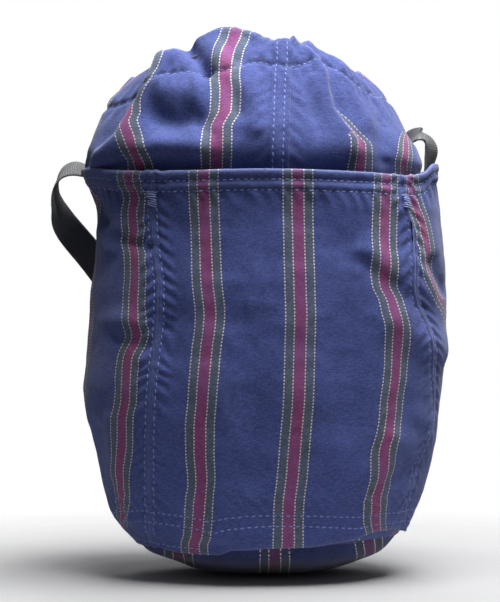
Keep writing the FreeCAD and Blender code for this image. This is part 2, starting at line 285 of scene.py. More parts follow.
def twill(name, stripes=True, tint=1.0):
    """Washed cotton twill with woven stripes, drawn on the cloth's own measure in mm."""
    T = Tree(name)
    uv, u, v = T.uv()
    fine = T.noise(T.comb(T.math("MULTIPLY", u, 1.0), T.math("MULTIPLY", v, 0.35)), 1.35, 2.0, 0.7)
    slub = T.noise(T.comb(T.math("MULTIPLY", u, 0.22), T.math("MULTIPLY", v, 1.0)), 1.15, 2.0, 0.7)
    patch = T.noise(uv, 0.045, 3.0)
    tone = T.math("ADD", T.math("MULTIPLY", fine, 0.5), T.math("MULTIPLY", slub, 0.5))
    lo = [tuple(c * tint for c in col[:3]) + (1,) for col in (NAVY_B, WINE_B, SLATE_B)]
    hi = [tuple(c * tint for c in col[:3]) + (1,) for col in (NAVY_A, WINE_A, SLATE_A)]
    edge = T.math("MULTIPLY", T.math("SUBTRACT", slub, 0.5), 0.5)
    cyc = T.math("FRACT", T.math("ADD", T.math("MULTIPLY", T.math("ADD", u, edge), 1 / PITCH), 0.5))
    d = T.math("MULTIPLY", T.math("ABSOLUTE", T.math("SUBTRACT", cyc, 0.5)), PITCH)
    f = T.math("MULTIPLY", d, 1 / 12.0)
    tf = T.ramp(tone, [(0.38, (0, 0, 0)), (0.62, (1, 1, 1))])
    navy = T.mix(tf, lo[0], hi[0])
    if stripes:
        base_lo = T.ramp(f, [(0.0, lo[1]), (3.5 / 12, lo[2]), (8.8 / 12, lo[0])], True)
        base_hi = T.ramp(f, [(0.0, hi[1]), (3.5 / 12, hi[2]), (8.8 / 12, hi[0])], True)
        base = T.mix(tf, base_lo, base_hi)
        line = T.ramp(f, [(0.0, (0, 0, 0)), (3.2 / 12, (1, 1, 1)), (3.9 / 12, (0, 0, 0)),
                          (8.45 / 12, (1, 1, 1)), (9.15 / 12, (0, 0, 0))], True)
        dots = T.math("LESS_THAN", T.math("FRACT", T.math("MULTIPLY", v, 1 / 2.0)), 0.56)
        base = T.mix(T.math("MULTIPLY", T.math("MULTIPLY", line, dots), 0.95), base, CREAM)
    else:
        base = navy
    # dye that has washed unevenly, and rubbed edges
    base = T.mix(T.math("MULTIPLY", T.ramp(patch, [(0.35, (0, 0, 0)), (0.7, (1, 1, 1))]), 0.13), base,
                 tuple(min(1, c * 1.9 + 0.02) for c in NAVY_A[:3]) + (1,))
    wear = T.math("MULTIPLY", T.attr("wear"), T.ramp(fine, [(0.3, (0.2, 0.2, 0.2)), (0.6, (1, 1, 1))]))
    base = T.mix(T.math("MULTIPLY", wear, 0.5), base, rgb(150, 160, 205))
    # twill line, about 1 mm, climbing to the right
    tw = T.math("SINE", T.math("MULTIPLY", T.math("ADD", T.math("MULTIPLY", u, 1.0), T.math("MULTIPLY", v, -0.8)), 2 * math.pi / 1.15))
    yarn = T.math("SINE", T.math("MULTIPLY", v, 2 * math.pi / 0.62))
    h = T.math("ADD", T.math("MULTIPLY", tw, 0.45), T.math("MULTIPLY", yarn, 0.2))
    h = T.math("ADD", h, T.math("MULTIPLY", tone, 1.6))
    base = T.mix(T.math("MULTIPLY", T.math("ADD", tw, 1.0), 0.045), base, (0.01, 0.012, 0.05, 1))
    T.bump(h, 0.5, 0.00018)
    return T.done(base, T.math("ADD", T.math("MULTIPLY", tone, 0.12), 0.8),
                  Sheen_Weight=0.18, Sheen_Roughness=0.5, Specular_IOR_Level=0.2)


def thread_mat(name, col):
    T = Tree(name)
    n = T.noise(T.pos(), 3500.0, 2.0)
    c = T.mix(T.ramp(n, [(0.35, (0, 0, 0)), (0.65, (1, 1, 1))]), col, tuple(min(1, q * 1.5) for q in col[:3]) + (1,))
    T.bump(n, 0.4, 0.0001)
    return T.done(c, 0.7, Sheen_Weight=0.2, Specular_IOR_Level=0.3)


def web_mat(name):
    T = Tree(name)
    uv, u, v = T.uv()
    wv = T.math("SINE", T.math("MULTIPLY", u, 2 * math.pi / 1.3))
    rb = T.math("SINE", T.math("MULTIPLY", v, 2 * math.pi / 1.15))
    n = T.noise(uv, 1.2, 3.0)
    c = T.mix(T.ramp(n, [(0.3, (0, 0, 0)), (0.7, (1, 1, 1))]), rgb(74, 76, 80), rgb(108, 110, 112))
    c = T.mix(T.math("MULTIPLY", T.math("ADD", rb, 1.0), 0.33), c, rgb(22, 24, 27))
    T.bump(T.math("ADD", T.math("MULTIPLY", wv, 0.5), T.math("MULTIPLY", n, 0.6)), 0.5, 0.00025)
    return T.done(c, 0.62, Sheen_Weight=0.12, Specular_IOR_Level=0.4)


def brass_mat(name):
    T = Tree(name)
    n = T.noise(T.pos(), 400.0, 4.0)
    c = T.mix(T.ramp(n, [(0.4, (0, 0, 0)), (0.62, (1, 1, 1))]), rgb(120, 98, 62), rgb(176, 150, 100))
    T.bump(n, 0.15, 0.0001)
    T.b.inputs["Metallic"].default_value = 1.0
    return T.done(c, T.math("ADD", T.math("MULTIPLY", n, 0.25), 0.25))


def plastic_mat(name):
    T = Tree(name)
    n = T.noise(T.pos(), 900.0, 3.0)
    c = T.mix(n, rgb(26, 26, 28), rgb(40, 40, 43))
    T.bump(n, 0.12, 0.0001)
    return T.done(c, T.math("ADD", T.math("MULTIPLY", n, 0.15), 0.4))


def braid_mat(name):
    T = Tree(name)
    n = T.noise(T.pos(), 1800.0, 2.0)
    c = T.mix(n, rgb(40, 44, 78), rgb(70, 76, 120))
    T.bump(n, 0.6, 0.0003)
    return T.done(c, 0.75, Sheen_Weight=0.15)


M_CLOTH = twill("twill_striped")
# the base panel's cloth: the same striped twill darkened to 0.46 of its colour, painted shade for the underside
M_BASE_SHADED = twill("twill_base_painted_shade", tint=0.46)
M_TAPE = twill("tape_plain", stripes=False, tint=0.6)
M_THREAD = thread_mat("thread_blue", rgb(124, 136, 188))
M_THREAD_P = thread_mat("thread_pale", rgb(150, 160, 205))
M_WEB = web_mat("webbing")
M_BRASS = brass_mat("brass")
M_PLASTIC = plastic_mat("slider_plastic")
M_CORD = braid_mat("cord_braid")

# ------------------------------------------------------------ bag profiles
# half width and centre by height, mm
SLEEVE = [(0.0, 24.0, -1.0), (0.8, 31.0, -1.0), (3.0, 43.0, 0.0), (8.2, 57.5, 1.0), (15.7, 75.3, 0.0),
          (23.2, 82.8, 0.5), (30.7, 89.3, -0.6), (38.2, 94.0, -0.9), (45.8, 96.9, -0.6),
          (53.3, 99.8, -0.3), (68.3, 103.5, 0.3), (83.4, 107.4, 0.0), (106.0, 110.9, -1.5),
          (121.0, 112.2, -0.9), (143.6, 111.6, 0.9), (173.7, 111.2, 1.9), (203.8, 108.8, 2.4),
          (222.0, 107.6, 2.0), (233.9, 107.7, 0.6), (241.4, 108.6, -1.4), (248.0, 110.6, -2.4),
          (256.0, 111.6, -3.0)]
S_A = [(z, a) for z, a, c in SLEEVE]
S_C = [(z, c) for z, a, c in SLEEVE]
RATIO = 0.745
UPPER = [(190.0, 97.0, 0.0), (225.0, 97.5, -1.0), (243.0, 100.0, -4.0), (251.0, 103.5, -6.0),
         (256.4, 105.2, -6.6), (264.0, 103.2, -7.5), (271.5, 99.3, -8.2), (279.0, 95.3, -9.1),
         (286.5, 91.2, -9.4), (294.1, 86.9, -10.0), (301.6, 81.3, -10.7), (307.0, 77.0, -11.6),
         (313.0, 71.5, -12.2)]
U_A = [(z, a) for z, a, c in UPPER]
U_C = [(z, c) for z, a, c in UPPER]
U_B = [(190.0, 73.0), (225.0, 72.6), (243.0, 74.0), (252.0, 77.0), (262.0, 78.4), (272.0, 76.6),
       (279.0, 73.6), (286.0, 70.2), (294.0, 66.2), (302.0, 61.8), (309.0, 57.2), (316.6, 51.8),
       (324.0, 46.6), (331.7, 42.3), (341.0, 39.0)]


def bag_section(phi, a, b, cx, e=0.95):
    c, s = np.cos(phi), np.sin(phi)
    return cx + a * np.sign(c) * np.abs(c) ** e, b * np.sign(s) * np.abs(s) ** e


# stripes, as (row: column) of their centre lines seen from the front
POCKET = {
    0: [(165, 130), (178, 128), (200, 134), (215, 132), (232, 133), (243, 130), (255, 134), (275, 135),
        (300, 134), (325, 136), (333, 137), (345, 133), (360, 128), (380, 126), (400, 125), (420, 122),
        (440, 122), (480, 120), (500, 121), (518, 121), (545, 128)],
    1: [(165, 203.5), (178, 203.5), (230, 205), (280, 207), (315, 210), (331, 209), (350, 206.5), (380, 204),
        (405, 202), (430, 200), (455, 200), (480, 201), (500, 199), (520, 198), (535, 197), (545, 194), (560, 196)],
    2: [(165, 298), (178, 298), (250, 299), (290, 300), (315, 300.6), (345, 300), (400, 298.5), (440, 295.4),
        (480, 292), (505, 289), (525, 288.4), (560, 287)],
    3: [(165, 387), (178, 386.5), (195, 385.5), (220, 385), (250, 384), (272, 384), (285, 385), (300, 391),
        (312, 393), (328, 396), (350, 397), (375, 396), (400, 393), (420, 391), (435, 388), (450, 384),
        (475, 382), (488, 380), (500, 376), (520, 376), (530, 377), (560, 377)],
}
STRIPE_E = [(165, 410), (178, 410), (190, 410), (200, 414.5), (215, 419), (230, 422), (245, 426), (262, 427),
            (270, 427), (280, 431), (290, 436), (300, 440), (320, 447), (345, 452), (400, 452), (560, 440)]
SEAM_FL = [(165, 152), (178, 152), (223, 152.5), (258, 156), (290, 160), (320, 158.5), (345, 156), (420, 150),
           (470, 149), (519, 149), (560, 153)]
SEAM_FR = [(165, 405), (178, 405), (204, 406), (230, 412), (260, 413), (286, 414), (305, 419), (323, 426),
           (345, 429), (380, 433), (405, 434), (440, 429), (464, 421), (490, 414), (510, 408), (560, 396)]
FELL = [(20, 284), (42, 283), (60, 284), (80, 282.5), (110, 281.5), (140, 281), (175, 280), (300, 280)]
UP_L = {
    -1: [(20, 168), (60, 158), (80, 149), (92, 142), (105, 134.5), (112, 132.5), (118, 131.5), (125, 129), (133, 131), (145, 135),
         (160, 140), (174, 142), (300, 142)],
    0: [(20, 238), (30, 236), (40, 233), (50, 229), (65, 226), (78, 225), (90, 226), (110, 225), (120, 220),
        (127, 217), (150, 217), (174, 216), (300, 216)],
}
UP_R = {
    0: [(20, 262), (60, 276), (95, 300), (105, 312), (111, 325), (118, 337), (127, 346.5), (135, 355), (143, 361), (155, 361),
        (174, 360), (300, 360)],
    1: [(20, 372), (80, 390), (102, 398), (126, 404), (135, 406), (152, 406), (167, 404), (300, 404)],
}
UP_0 = [(20, 190), (50, 166), (58, 157), (64, 147), (70, 134), (74, 118), (80, 95), (100, 60), (150, 20), (300, 0)]
FOLD_L = [(158, 60), (154, 72), (152, 79), (144, 91), (134, 107), (124, 123), (117, 136), (100, 152), (88, 173), (80, 200)]
FOLD_R = [(293, 40), (306, 48), (318, 58), (325, 72), (328, 90), (333, 108), (345, 125), (352, 133)]


def col_of(P, line, lo, hi):
    """Fractional column at which each row of the grid crosses a line seen from the front.
    lo and hi bound the columns of the front half, left to right."""
    u, v = project(P)
    out = np.empty(P.shape[0])
    for r in range(P.shape[0]):
        cc = np.arange(lo, hi + 1)
        uu, vv = u[r, cc % P.shape[1]], v[r, cc % P.shape[1]]
        target = pinterp(vv, line)
        g = uu - target
        k = np.nonzero((g[:-1] <= 0) & (g[1:] > 0))[0]
        if len(k):
            k = k[0]
            out[r] = cc[k] + (-g[k]) / (g[k + 1] - g[k])
        else:
            step = P.shape[1] / 640.0
            if g[0] > 0:
                out[r] = max(lo - g[0] * 0.9 * step, 6)
            else:
                out[r] = hi - g[-1] * 0.9 * step
    return out


def at_cols(A, cols):
    """Values of a (rows, columns) table at fractional columns, one per row, periodic in columns by its own length."""
    C = A.shape[1]
    c0 = np.floor(cols).astype(int)
    f = cols - c0
    r = np.arange(A.shape[0])
    return A[r, c0 % C] * (1 - f) + A[r, (c0 + 1) % C] * f


# ======================================================== the pocket sleeve
C = 640                                     # columns, starting at the back, clockwise from above
PHI0 = math.pi / 2
R = 200
phi = PHI0 + 2 * math.pi * np.arange(C) / C          # back -> left -> front -> right
deg = np.degrees(phi) % 360


def around(knots, d):
    ks = sorted(knots)
    ks = [(ks[-1][0] - 360, ks[-1][1])] + ks + [(ks[0][0] + 360, ks[0][1])]
    return pinterp(d, ks)


ZB = around([(0, 27), (45, 22), (90, 20), (135, 20), (180, 21), (215, 19.5), (235, 18.5), (250, 18.5), (258, 22.5),
             (270, 24.5), (285, 25), (300, 27), (318, 31), (340, 30)], deg)
ZH = around([(0, 255), (20, 252), (60, 249), (90, 248), (130, 249), (180, 252), (200, 251), (222, 247.5),
             (245, 246.5), (270, 247), (300, 246), (322, 245), (333, 247), (345, 254)], deg)
rr = np.linspace(0, 1, R)[:, None]
Z = ZB[None, :] + (ZH - ZB)[None, :] * rr
A_ = pinterp(Z, S_A)
Cx = pinterp(Z, S_C)
X, Y = bag_section(phi[None, :], A_, A_ * RATIO, Cx)
P0 = np.stack([X, Y, Z], axis=2)
N0 = -normals(P0, True)
if (N0[R // 2, C // 2, 1]) > 0:
    N0 = -N0
SP = np.concatenate([P0, P0[:, :1]], axis=1)
S0 = arclen(SP)                       # arc length from the back, C+1 columns
PER = S0[:, -1]
S0 = S0[:, :-1]
front_lo, front_hi = C // 4 + 2, 3 * C // 4 - 2
uu, vv = project(P0)
cols = {k: col_of(P0, POCKET[k], front_lo, front_hi) for k in POCKET}
colE = col_of(P0, STRIPE_E, front_lo, front_hi + 30)
cFL = col_of(P0, SEAM_FL, front_lo, front_hi)
cFR = col_of(P0, SEAM_FR, front_lo, front_hi)
z_mid = P0[:, 0, 2]
cBL = np.full(R, C * (180 - 142 + 90 - 90 + 14) / 360.0) + 2.5 * np.sin(z_mid / 37.0)
cBR = np.full(R, C * (360 - 52) / 360.0) + 2.0 * np.sin(z_mid / 31.0 + 1)


def s_at(c):
    return at_cols(S0, c)


sFL, sFR, sBL, sBR = s_at(cFL), s_at(cFR), s_at(cBL), s_at(cBR)
sK = {k: s_at(cols[k]) for k in cols}
sE = s_at(colE)
# keep the seams smooth
ker = np.ones(7) / 7
smooth_line = lambda a: np.convolve(np.pad(a, 3, mode="edge"), ker, "valid")
sFL, sFR = smooth_line(sFL), smooth_line(sFR)
offE = np.clip(sE - sFR, -4.0, 34.0)
offE = np.convolve(np.pad(offE, 8, mode='edge'), np.ones(17) / 17, 'valid')
sE = sFR + offE

# cloth measure across
U = np.zeros((R, C))
for r in range(R):
    s = S0[r]
    ks = [(sK[0][r] - 200, -200)]
    for k in range(4):
        ks += [(sK[k][r] - 10.2, 58.0 * k - 10.2), (sK[k][r] + 10.2, 58.0 * k + 10.2)]
    ks = np.array(ks)
    U[r] = np.interp(s, ks[:, 0], ks[:, 1])
    far = s > ks[-1, 0]
    U[r, far] = ks[-1, 1] + (s[far] - ks[-1, 0])
    right = s > sFR[r]
    U[r, right] = (s[right] - sE[r])
    back = (s > sBR[r]) | (s < sBL[r])
    sb = np.where(s > sBR[r], s - PER[r], s)
    U[r, back] = sb[back] * 1.0 + 23 + 1.3 * np.sin(z_mid[r] / 22.0)
Vc = np.concatenate([np.zeros((1, C)), np.cumsum(np.linalg.norm(np.diff(P0, axis=0), axis=2), axis=0)], axis=0)

# shape of the cloth: broad give, folds, puckers
sn = S0 / PER[:, None]
D = 1.1 * vnoise(sn * 10, Z / 55.0, 3, 10) + 0.75 * vnoise(sn * 22, Z / 30.0, 5, 22) + 0.4 * vnoise(sn * 40, Z / 16.0, 6, 40)
D += 0.22 * vnoise(sn * 70, Z / 6.5, 9, 70) + 0.12 * vnoise(sn * 150, Z / 14.0, 11, 150)
wf = sm((-N0[..., 1] - 0.02) / 0.25)
F = np.zeros_like(D)
F += ridge(uu, vv, [(366, 262), (385, 280), (402, 294), (424, 308)], -0.9, 9)
F += ridge(uu, vv, [(360, 250), (378, 264), (398, 276)], 0.9, 8)
F += ridge(uu, vv, [(395, 322), (418, 338), (440, 350)], 2.2, 17)
F += ridge(uu, vv, [(372, 250), (400, 262)], 1.2, 12)
F += ridge(uu, vv, [(431, 262), (437, 276), (446, 290)], -2.4, 6)
F += lap(uu, vv, [(434, 284), (424, 262), (419, 240), (410, 214), (405, 200)], 1.3, 2.0, 9)
F += ridge(uu, vv, [(94, 200), (98, 212), (104, 222)], -2.6, 5)
F += ridge(uu, vv, [(100, 232), (106, 250)], 1.3, 8)
F += ridge(uu, vv, [(113, 200), (118, 226)], 1.3, 9)
F += ridge(uu, vv, [(126, 243), (148, 247)], -1.1, 6)
F += ridge(uu, vv, [(118, 338), (146, 346)], -1.3, 8)
F += ridge(uu, vv, [(110, 320), (140, 322)], 0.9, 9)
F += ridge(uu, vv, [(150, 330), (200, 316), (240, 318)], -0.8, 13)
F += ridge(uu, vv, [(96, 430), (104, 470), (122, 515)], -1.8, 6)
F += ridge(uu, vv, [(108, 470), (118, 500), (130, 520)], 1.4, 5)
F += ridge(uu, vv, [(112, 420), (118, 470)], 1.0, 8)
F += ridge(uu, vv, [(240, 330), (252, 400), (262, 470)], -1.1, 24)
F += ridge(uu, vv, [(345, 250), (350, 330), (346, 420)], -1.2, 22)
F += ridge(uu, vv, [(180, 230), (176, 300), (178, 400)], -0.8, 14)
F += ridge(uu, vv, [(395, 440), (378, 480), (372, 505)], 1.2, 11)
F += ridge(uu, vv, [(372, 492), (398, 478), (418, 468)], -1.1, 7)
F += ridge(uu, vv, [(420, 430), (428, 470), (412, 505)], -0.9, 8)
F += ridge(uu, vv, [(180, 486), (196, 492), (205, 500)], -0.8, 6)
F += ridge(uu, vv, [(200, 536), (240, 534), (300, 538), (360, 532)], 1.2, 7)
F += ridge(uu, vv, [(165, 190), (215, 186), (300, 187), (380, 190)], 0.5, 10)
D = D + wf * F * 1.35
# bottom edge of the sleeve rolls over the base on the right
roll = np.exp(-((Z - ZB[None, :]) / 5.5) ** 2)
D += roll * around([(0, 1.0), (90, 0.4), (180, 0.2), (235, 0.0), (252, 0.2), (262, 1.6), (298, 1.9), (316, 0.5), (330, 0.2)], deg)[None, :]


def groove(dist, w):
    return np.exp(-(dist / w) ** 2)


def pucker(along, seed):
    return 0.55 + 0.45 * np.sin(along * 2 * math.pi / 8.3 + 2.0 * vnoise(along / 19.0, along * 0 + seed, seed))


for sl, seed in ((sFL, 1), (sFR, 2), (sBL, 3), (sBR, 4)):
    ds = S0 - sl[:, None]
    ds = np.where(ds > PER[:, None] / 2, ds - PER[:, None], ds)
    ds = np.where(ds < -PER[:, None] / 2, ds + PER[:, None], ds)
    g = groove(ds - 3.2, 1.1) + groove(ds + 3.2, 1.1)
    D -= 0.6 * g * (0.6 + 0.6 * pucker(Z, seed))
    D += 0.35 * groove(ds, 2.3)
    # short slanting pulls beside the rows
    side = np.exp(-((np.abs(ds) - 6.5) / 4.5) ** 2)
    D += 0.5 * side * np.sin((Z + np.abs(ds) * 0.7) * 2 * math.pi / 8.3 + 2.5 * vnoise(Z / 17.0, ds * 0 + seed, seed + 20))
H1, H2 = 5.0, 11.2                     # hem rows under the edge
dz = ZH[None, :] - Z
D -= 0.55 * (groove(dz - H1, 0.9) + groove(dz - H2, 0.9)) * (0.6 + 0.5 * pucker(S0, 7))
D += 0.55 * np.exp(-((dz - 8.0) / 2.3) ** 2) + 0.5 * np.exp(-((dz - 1.8) / 2.2) ** 2)
D += 0.42 * np.exp(-((dz - 15.0) / 5.0) ** 2) * np.sin(S0 * 2 * math.pi / 9.0 + 3 * vnoise(S0 / 23.0, S0 * 0 + 5, 31))
# rows along the foot of the pockets, height above the edge
B2 = around([(0, 6.6), (45, 6.6), (90, 6.6), (135, 7), (180, 10), (200, 14), (222, 18), (240, 17), (258, 13), (270, 12.5),
             (285, 11.5), (300, 8), (315, 4.4), (330, 4.2), (345, 5.5)], deg)
B1 = B2 + 6.4
db = Z - ZB[None, :]
frontness = ((S0 > sFL[:, None]) & (S0 < sFR[:, None])).astype(float)
for b0 in (B1, B2):
    D -= 0.4 * groove(db - b0[None, :], 0.9) * (0.6 + 0.5 * pucker(S0, 8))
D += 0.4 * np.exp(-((db - B1[None, :] - 6) / 6.0) ** 2) * np.sin(S0 * 2 * math.pi / 8.8 + 3 * vnoise(S0 / 21.0, S0 * 0 + 6, 33))

PS = P0 + N0 * D[..., None]
NS = -normals(PS, True)
if NS[R // 2, C // 2, 1] > 0:
    NS = -NS
# wear: hem edge, seams, foot
wear_s = 0.8 * np.exp(-(dz / 1.2) ** 2) + 0.25 * np.exp(-((np.abs(dz - 8.0)) / 2.0) ** 2)
for sl in (sFL, sFR, sBL, sBR):
    wear_s += 0.22 * groove(S0 - sl[:, None], 2.0)
wear_s += 0.35 * np.exp(-((db) / 1.5) ** 2)


def panel(name, sa, sb, replaces, uoff=None):
    """A pocket panel between two seam lines given as arc length per row; closed, with a turned hem."""
    cols_n = int(max(24, np.median((sb - sa) % PER) / 1.0))
    tt = np.linspace(0, 1, cols_n)
    Pq = np.empty((R, cols_n, 3))
    Nq = np.empty((R, cols_n, 3))
    Uq = np.empty((R, cols_n))
    Vq = np.empty((R, cols_n))
    Wq = np.empty((R, cols_n))
    for r in range(R):
        width = (sb[r] - sa[r]) % PER[r]
        s = (sa[r] + tt * width)
        xs = np.concatenate([S0[r], S0[r] + PER[r], S0[r] + 2 * PER[r]]) - 0.0
        sq = s + (PER[r] if s[0] < 0 else 0)
        for k in range(3):
            Pq[r, :, k] = np.interp(sq, xs, np.tile(PS[r, :, k], 3))
            Nq[r, :, k] = np.interp(sq, xs, np.tile(NS[r, :, k], 3))
        Vq[r] = np.interp(sq, xs, np.tile(Vc[r], 3))
        Wq[r] = np.interp(sq, xs, np.tile(wear_s[r], 3))
        Uq[r] = uoff(r, sq)
    Nq /= np.linalg.norm(Nq, axis=2, keepdims=True)
    thick = np.where(Z[:, :1] * 0 + (1 - rr) * 229 < 12.5, 2.6, 1.3)
    thick = 1.3 + 1.3 * sm((13.0 - (1 - rr) * 229) / 1.0)
    inner = Pq - Nq * thick[..., None]
    rows = [Pq[i] for i in range(R)]
    uvr = [np.stack([Uq[i], Vq[i]], 1) for i in range(R)]
    wr = [Wq[i] for i in range(R)]
    top_n, top_t = Nq[-1], thick[-1, 0]
    for j in range(1, 6):                       # rolled edge
        a = math.pi * j / 6
        c = Pq[-1] - top_n * top_t / 2
        rows.append(c + top_n * (math.cos(a) * top_t / 2) + np.array([0, 0, 1.0]) * math.sin(a) * top_t * 0.5)
        uvr.append(np.stack([Uq[-1], Vq[-1] + j * 0.6], 1))
        wr.append(Wq[-1] * 1.0)
    idx = list(range(R - 1, R - 41, -1)) + list(range(R - 41, 0, -5)) + [0]
    for i in idx:
        rows.append(inner[i])
        uvr.append(np.stack([Uq[i], Vq[-1] + 3 + (Vq[-1] - Vq[i])], 1))
        wr.append(Wq[i] * 0)
    n = len(rows)
    W = cols_n
    verts = np.concatenate(rows)
    faces = []
    for i in range(n):
        j = (i + 1) % n
        if j == 0:
            a = np.arange(W - 1)
            faces += np.stack([i * W + a, j * W + a, j * W + a + 1, i * W + a + 1], 1)[:, ::-1].tolist()
            continue
        a = np.arange(W - 1)
        faces += np.stack([i * W + a, i * W + a + 1, j * W + a + 1, j * W + a], 1).tolist()
    faces.append([i * W for i in range(n)])
    faces.append([i * W + W - 1 for i in range(n)][::-1])
    ob = make(name, verts, faces, np.concatenate(uvr), M_CLOTH, extra={"wear": np.concatenate(wr)})
    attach(ob, "bag")
    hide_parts(replaces)
    return ob


def u_front(r, s):
    s = s % PER[r]
    ks = [(sK[0][r] - 200, -200)]
    for k in range(4):
        ks += [(sK[k][r] - 10.2, 58.0 * k - 10.2), (sK[k][r] + 10.2, 58.0 * k + 10.2)]
    ks += [(sK[3][r] + 210.2, 174 + 210.2)]
    ks = np.array(ks)
    return np.interp(s, ks[:, 0], ks[:, 1])


def u_right(r, s):
    return (s % PER[r]) - sE[r]


def u_back(r, s):
    s = np.where(s > PER[r] * 0.5, s - PER[r], s)
    return s + 23 + 1.3 * np.sin(z_mid[r] / 22.0)


def u_left(r, s):
    return u_front(r, s)


panel("front_pocket_cloth", sFL, sFR, "front_pocket", u_front)
panel("right_pocket_cloth", sFR, sBR, "right_side_pocket", u_right)
panel("back_pocket_cloth", sBR, sBL, "back_pocket", lambda r, s: u_back(r, np.mod(s, PER[r])))
panel("left_pocket_cloth", sBL, sFL, "left_side_pocket", u_left)

# ================================================================ bag wall
CW = 600
RW = 150
phw = PHI0 + 2 * math.pi * np.arange(CW) / CW
degw = np.degrees(phw) % 360
t = np.linspace(0, 1, RW)[:, None]
zs = 190 + (313 - 190) * t
aw = pinterp(zs, U_A)
cw = pinterp(zs, U_C)
xr = -12.2 + 71.5 * np.cos(phw)
zf = pinterp(xr, [(-84, 309), (-74, 311), (-62, 317), (-52, 322), (-38, 330), (-25, 335.5), (-13, 334.5), (-2, 329),
                  (8, 326), (18, 326.5), (25, 328.5), (32, 324), (42, 318), (52, 314.5), (60, 312)])
zb_ = pinterp(xr, [(-84, 309), (-70, 312), (-56, 317), (-42, 327), (-30, 336), (-13, 337.5), (4, 336), (16, 327), (30, 322),
                   (45, 316), (60, 312)])
fb = sm((np.sin(phw) + 0.25) / 0.5)
zrim = zf * (1 - fb) + zb_ * fb
Zw = zs + (zrim - 313)[None, :] * t ** 2.0
bw = pinterp(Zw, U_B)
Xw, Yw = bag_section(phw[None, :], aw + 0 * Zw, bw, cw + 0 * Zw, 0.97)
PW0 = np.stack([Xw, Yw, Zw], axis=2)
NW0 = -normals(PW0, True)
if NW0[RW // 2, CW // 2, 1] > 0:
    NW0 = -NW0
SW = arclen(np.concatenate([PW0, PW0[:, :1]], axis=1))
PERW = SW[:, -1]
SW = SW[:, :-1]
uw, vw = project(PW0)
lo, hi = CW // 4 + 2, 3 * CW // 4 - 2
cfell = col_of(PW0, FELL, lo, hi)
sFELL = smooth_line(at_cols(SW, cfell))
kL = {k: at_cols(SW, col_of(PW0, UP_L[k], lo, hi)) for k in UP_L}
kR = {k: at_cols(SW, col_of(PW0, UP_R[k], lo, hi)) for k in UP_R}
k0 = at_cols(SW, col_of(PW0, UP_0, lo - 60, hi))
cBS = np.full(RW, 0.0) + CW * 0.985           # back seam, near the middle of the back
sBS = at_cols(np.concatenate([SW, PERW[:, None]], 1)[:, :-1], cBS)
Vw = np.concatenate([np.zeros((1, CW)), np.cumsum(np.linalg.norm(np.diff(PW0, axis=0), axis=2), axis=0)], axis=0)
tcol = np.broadcast_to(t, Zw.shape)
CASE0 = 25.0
rimd = Vw[-1][None, :] - Vw                   # distance down from the rim along the cloth

wfw = sm((-NW0[..., 1] - 0.02) / 0.2)
snw = SW / PERW[:, None]
Dw = 0.9 * vnoise(snw * 9, Zw / 40.0, 43, 9) + 0.45 * vnoise(snw * 24, Zw / 24.0, 45, 24)
Dw += 0.28 * vnoise(snw * 80, Zw / 7.0, 47, 80) + 0.35 * vnoise(snw * 45, Zw / 14.0, 48, 45)
Fw = np.zeros_like(Dw)
Fw += lap(uw, vw, FOLD_L, 5.5, 1.6, 26)
Fw += lap(uw, vw, FOLD_R[::-1], 4.6, 1.4, 26)
Fw += ridge(uw, vw, [(158, 118), (175, 123), (194, 120)], -5.0, 12)
Fw += ridge(uw, vw, [(160, 88), (176, 92), (196, 92)], 2.6, 13)
Fw += ridge(uw, vw, [(186, 46), (197, 58), (206, 72)], -6.0, 8)
Fw += ridge(uw, vw, [(150, 62), (175, 56)], 1.6, 9)
Fw += ridge(uw, vw, [(246, 34), (250, 46), (240, 60)], -2.2, 7)
Fw += ridge(uw, vw, [(215, 48), (222, 66)], 1.6, 9)
Fw += ridge(uw, vw, [(146, 148), (176, 144), (202, 148)], 3.4, 11)
Fw += ridge(uw, vw, [(246, 88), (258, 106), (260, 128)], 3.4, 14)
Fw += ridge(uw, vw, [(232, 92), (240, 112)], -1.2, 8)
Fw += ridge(uw, vw, [(300, 78), (310, 100), (320, 128)], -1.6, 9)
Fw += ridge(uw, vw, [(338, 76), (352, 98), (368, 118)], 2.4, 13)
Fw += ridge(uw, vw, [(352, 66), (372, 96), (382, 126), (384, 160)], -1.6, 8)
Fw += ridge(uw, vw, [(180, 160), (240, 150), (300, 156), (350, 150)], 1.4, 13)
Fw += ridge(uw, vw, [(110, 100), (100, 128), (94, 150)], 2.2, 12)
Fw += ridge(uw, vw, [(128, 160), (112, 168), (96, 170)], -2.0, 6)
Fw += ridge(uw, vw, [(198, 84), (196, 110), (190, 126)], 1.8, 8)
Fw += ridge(uw, vw, [(300, 48), (308, 60), (312, 72)], -2.2, 4)
Fw += ridge(uw, vw, [(330, 60), (338, 74)], 1.2, 6)
Dw = Dw + wfw * Fw
# gathers round the sides and back, dying out below the casing
gat = np.zeros_like(Dw)
for a0, wd, am, dr in ((12, 7, 3.4, 9), (31, 6, -3.0, 4), (47, 8, 3.2, -5), (63, 6, -3.0, 6), (80, 8, 2.6, 0),
                       (96, 6, -2.6, -7), (112, 7, 2.8, 4), (127, 6, -3.2, 8), (143, 8, 3.4, -4), (160, 6, -2.8, 6),
                       (174, 7, 2.4, 3), (346, 6, -2.8, -3)):
    cen = a0 + dr * (1 - tcol) * 1.2
    dd = (degw[None, :] - cen + 180) % 360 - 180
    gat += am * np.exp(-(dd / (wd * (1 + 0.7 * (1 - tcol)))) ** 2)
SWt = np.broadcast_to(SW[-1][None, :], SW.shape)
fine_p = 1.5 * np.sin(SWt * 2 * math.pi / 10.5 + 4.0 * vnoise(SWt / 28.0, SWt * 0 + 9, 91)) + 0.9 * np.sin(SWt * 2 * math.pi / 6.7 + 5.0 * vnoise(SWt / 17.0, SWt * 0 + 3, 92))
g_on = np.exp(-(np.maximum(rimd - 6, 0) / 42.0) ** 2)
eye_zone = np.exp(-(((degw[None, :] - 90 + 180) % 360 - 180) / 26.0) ** 2)
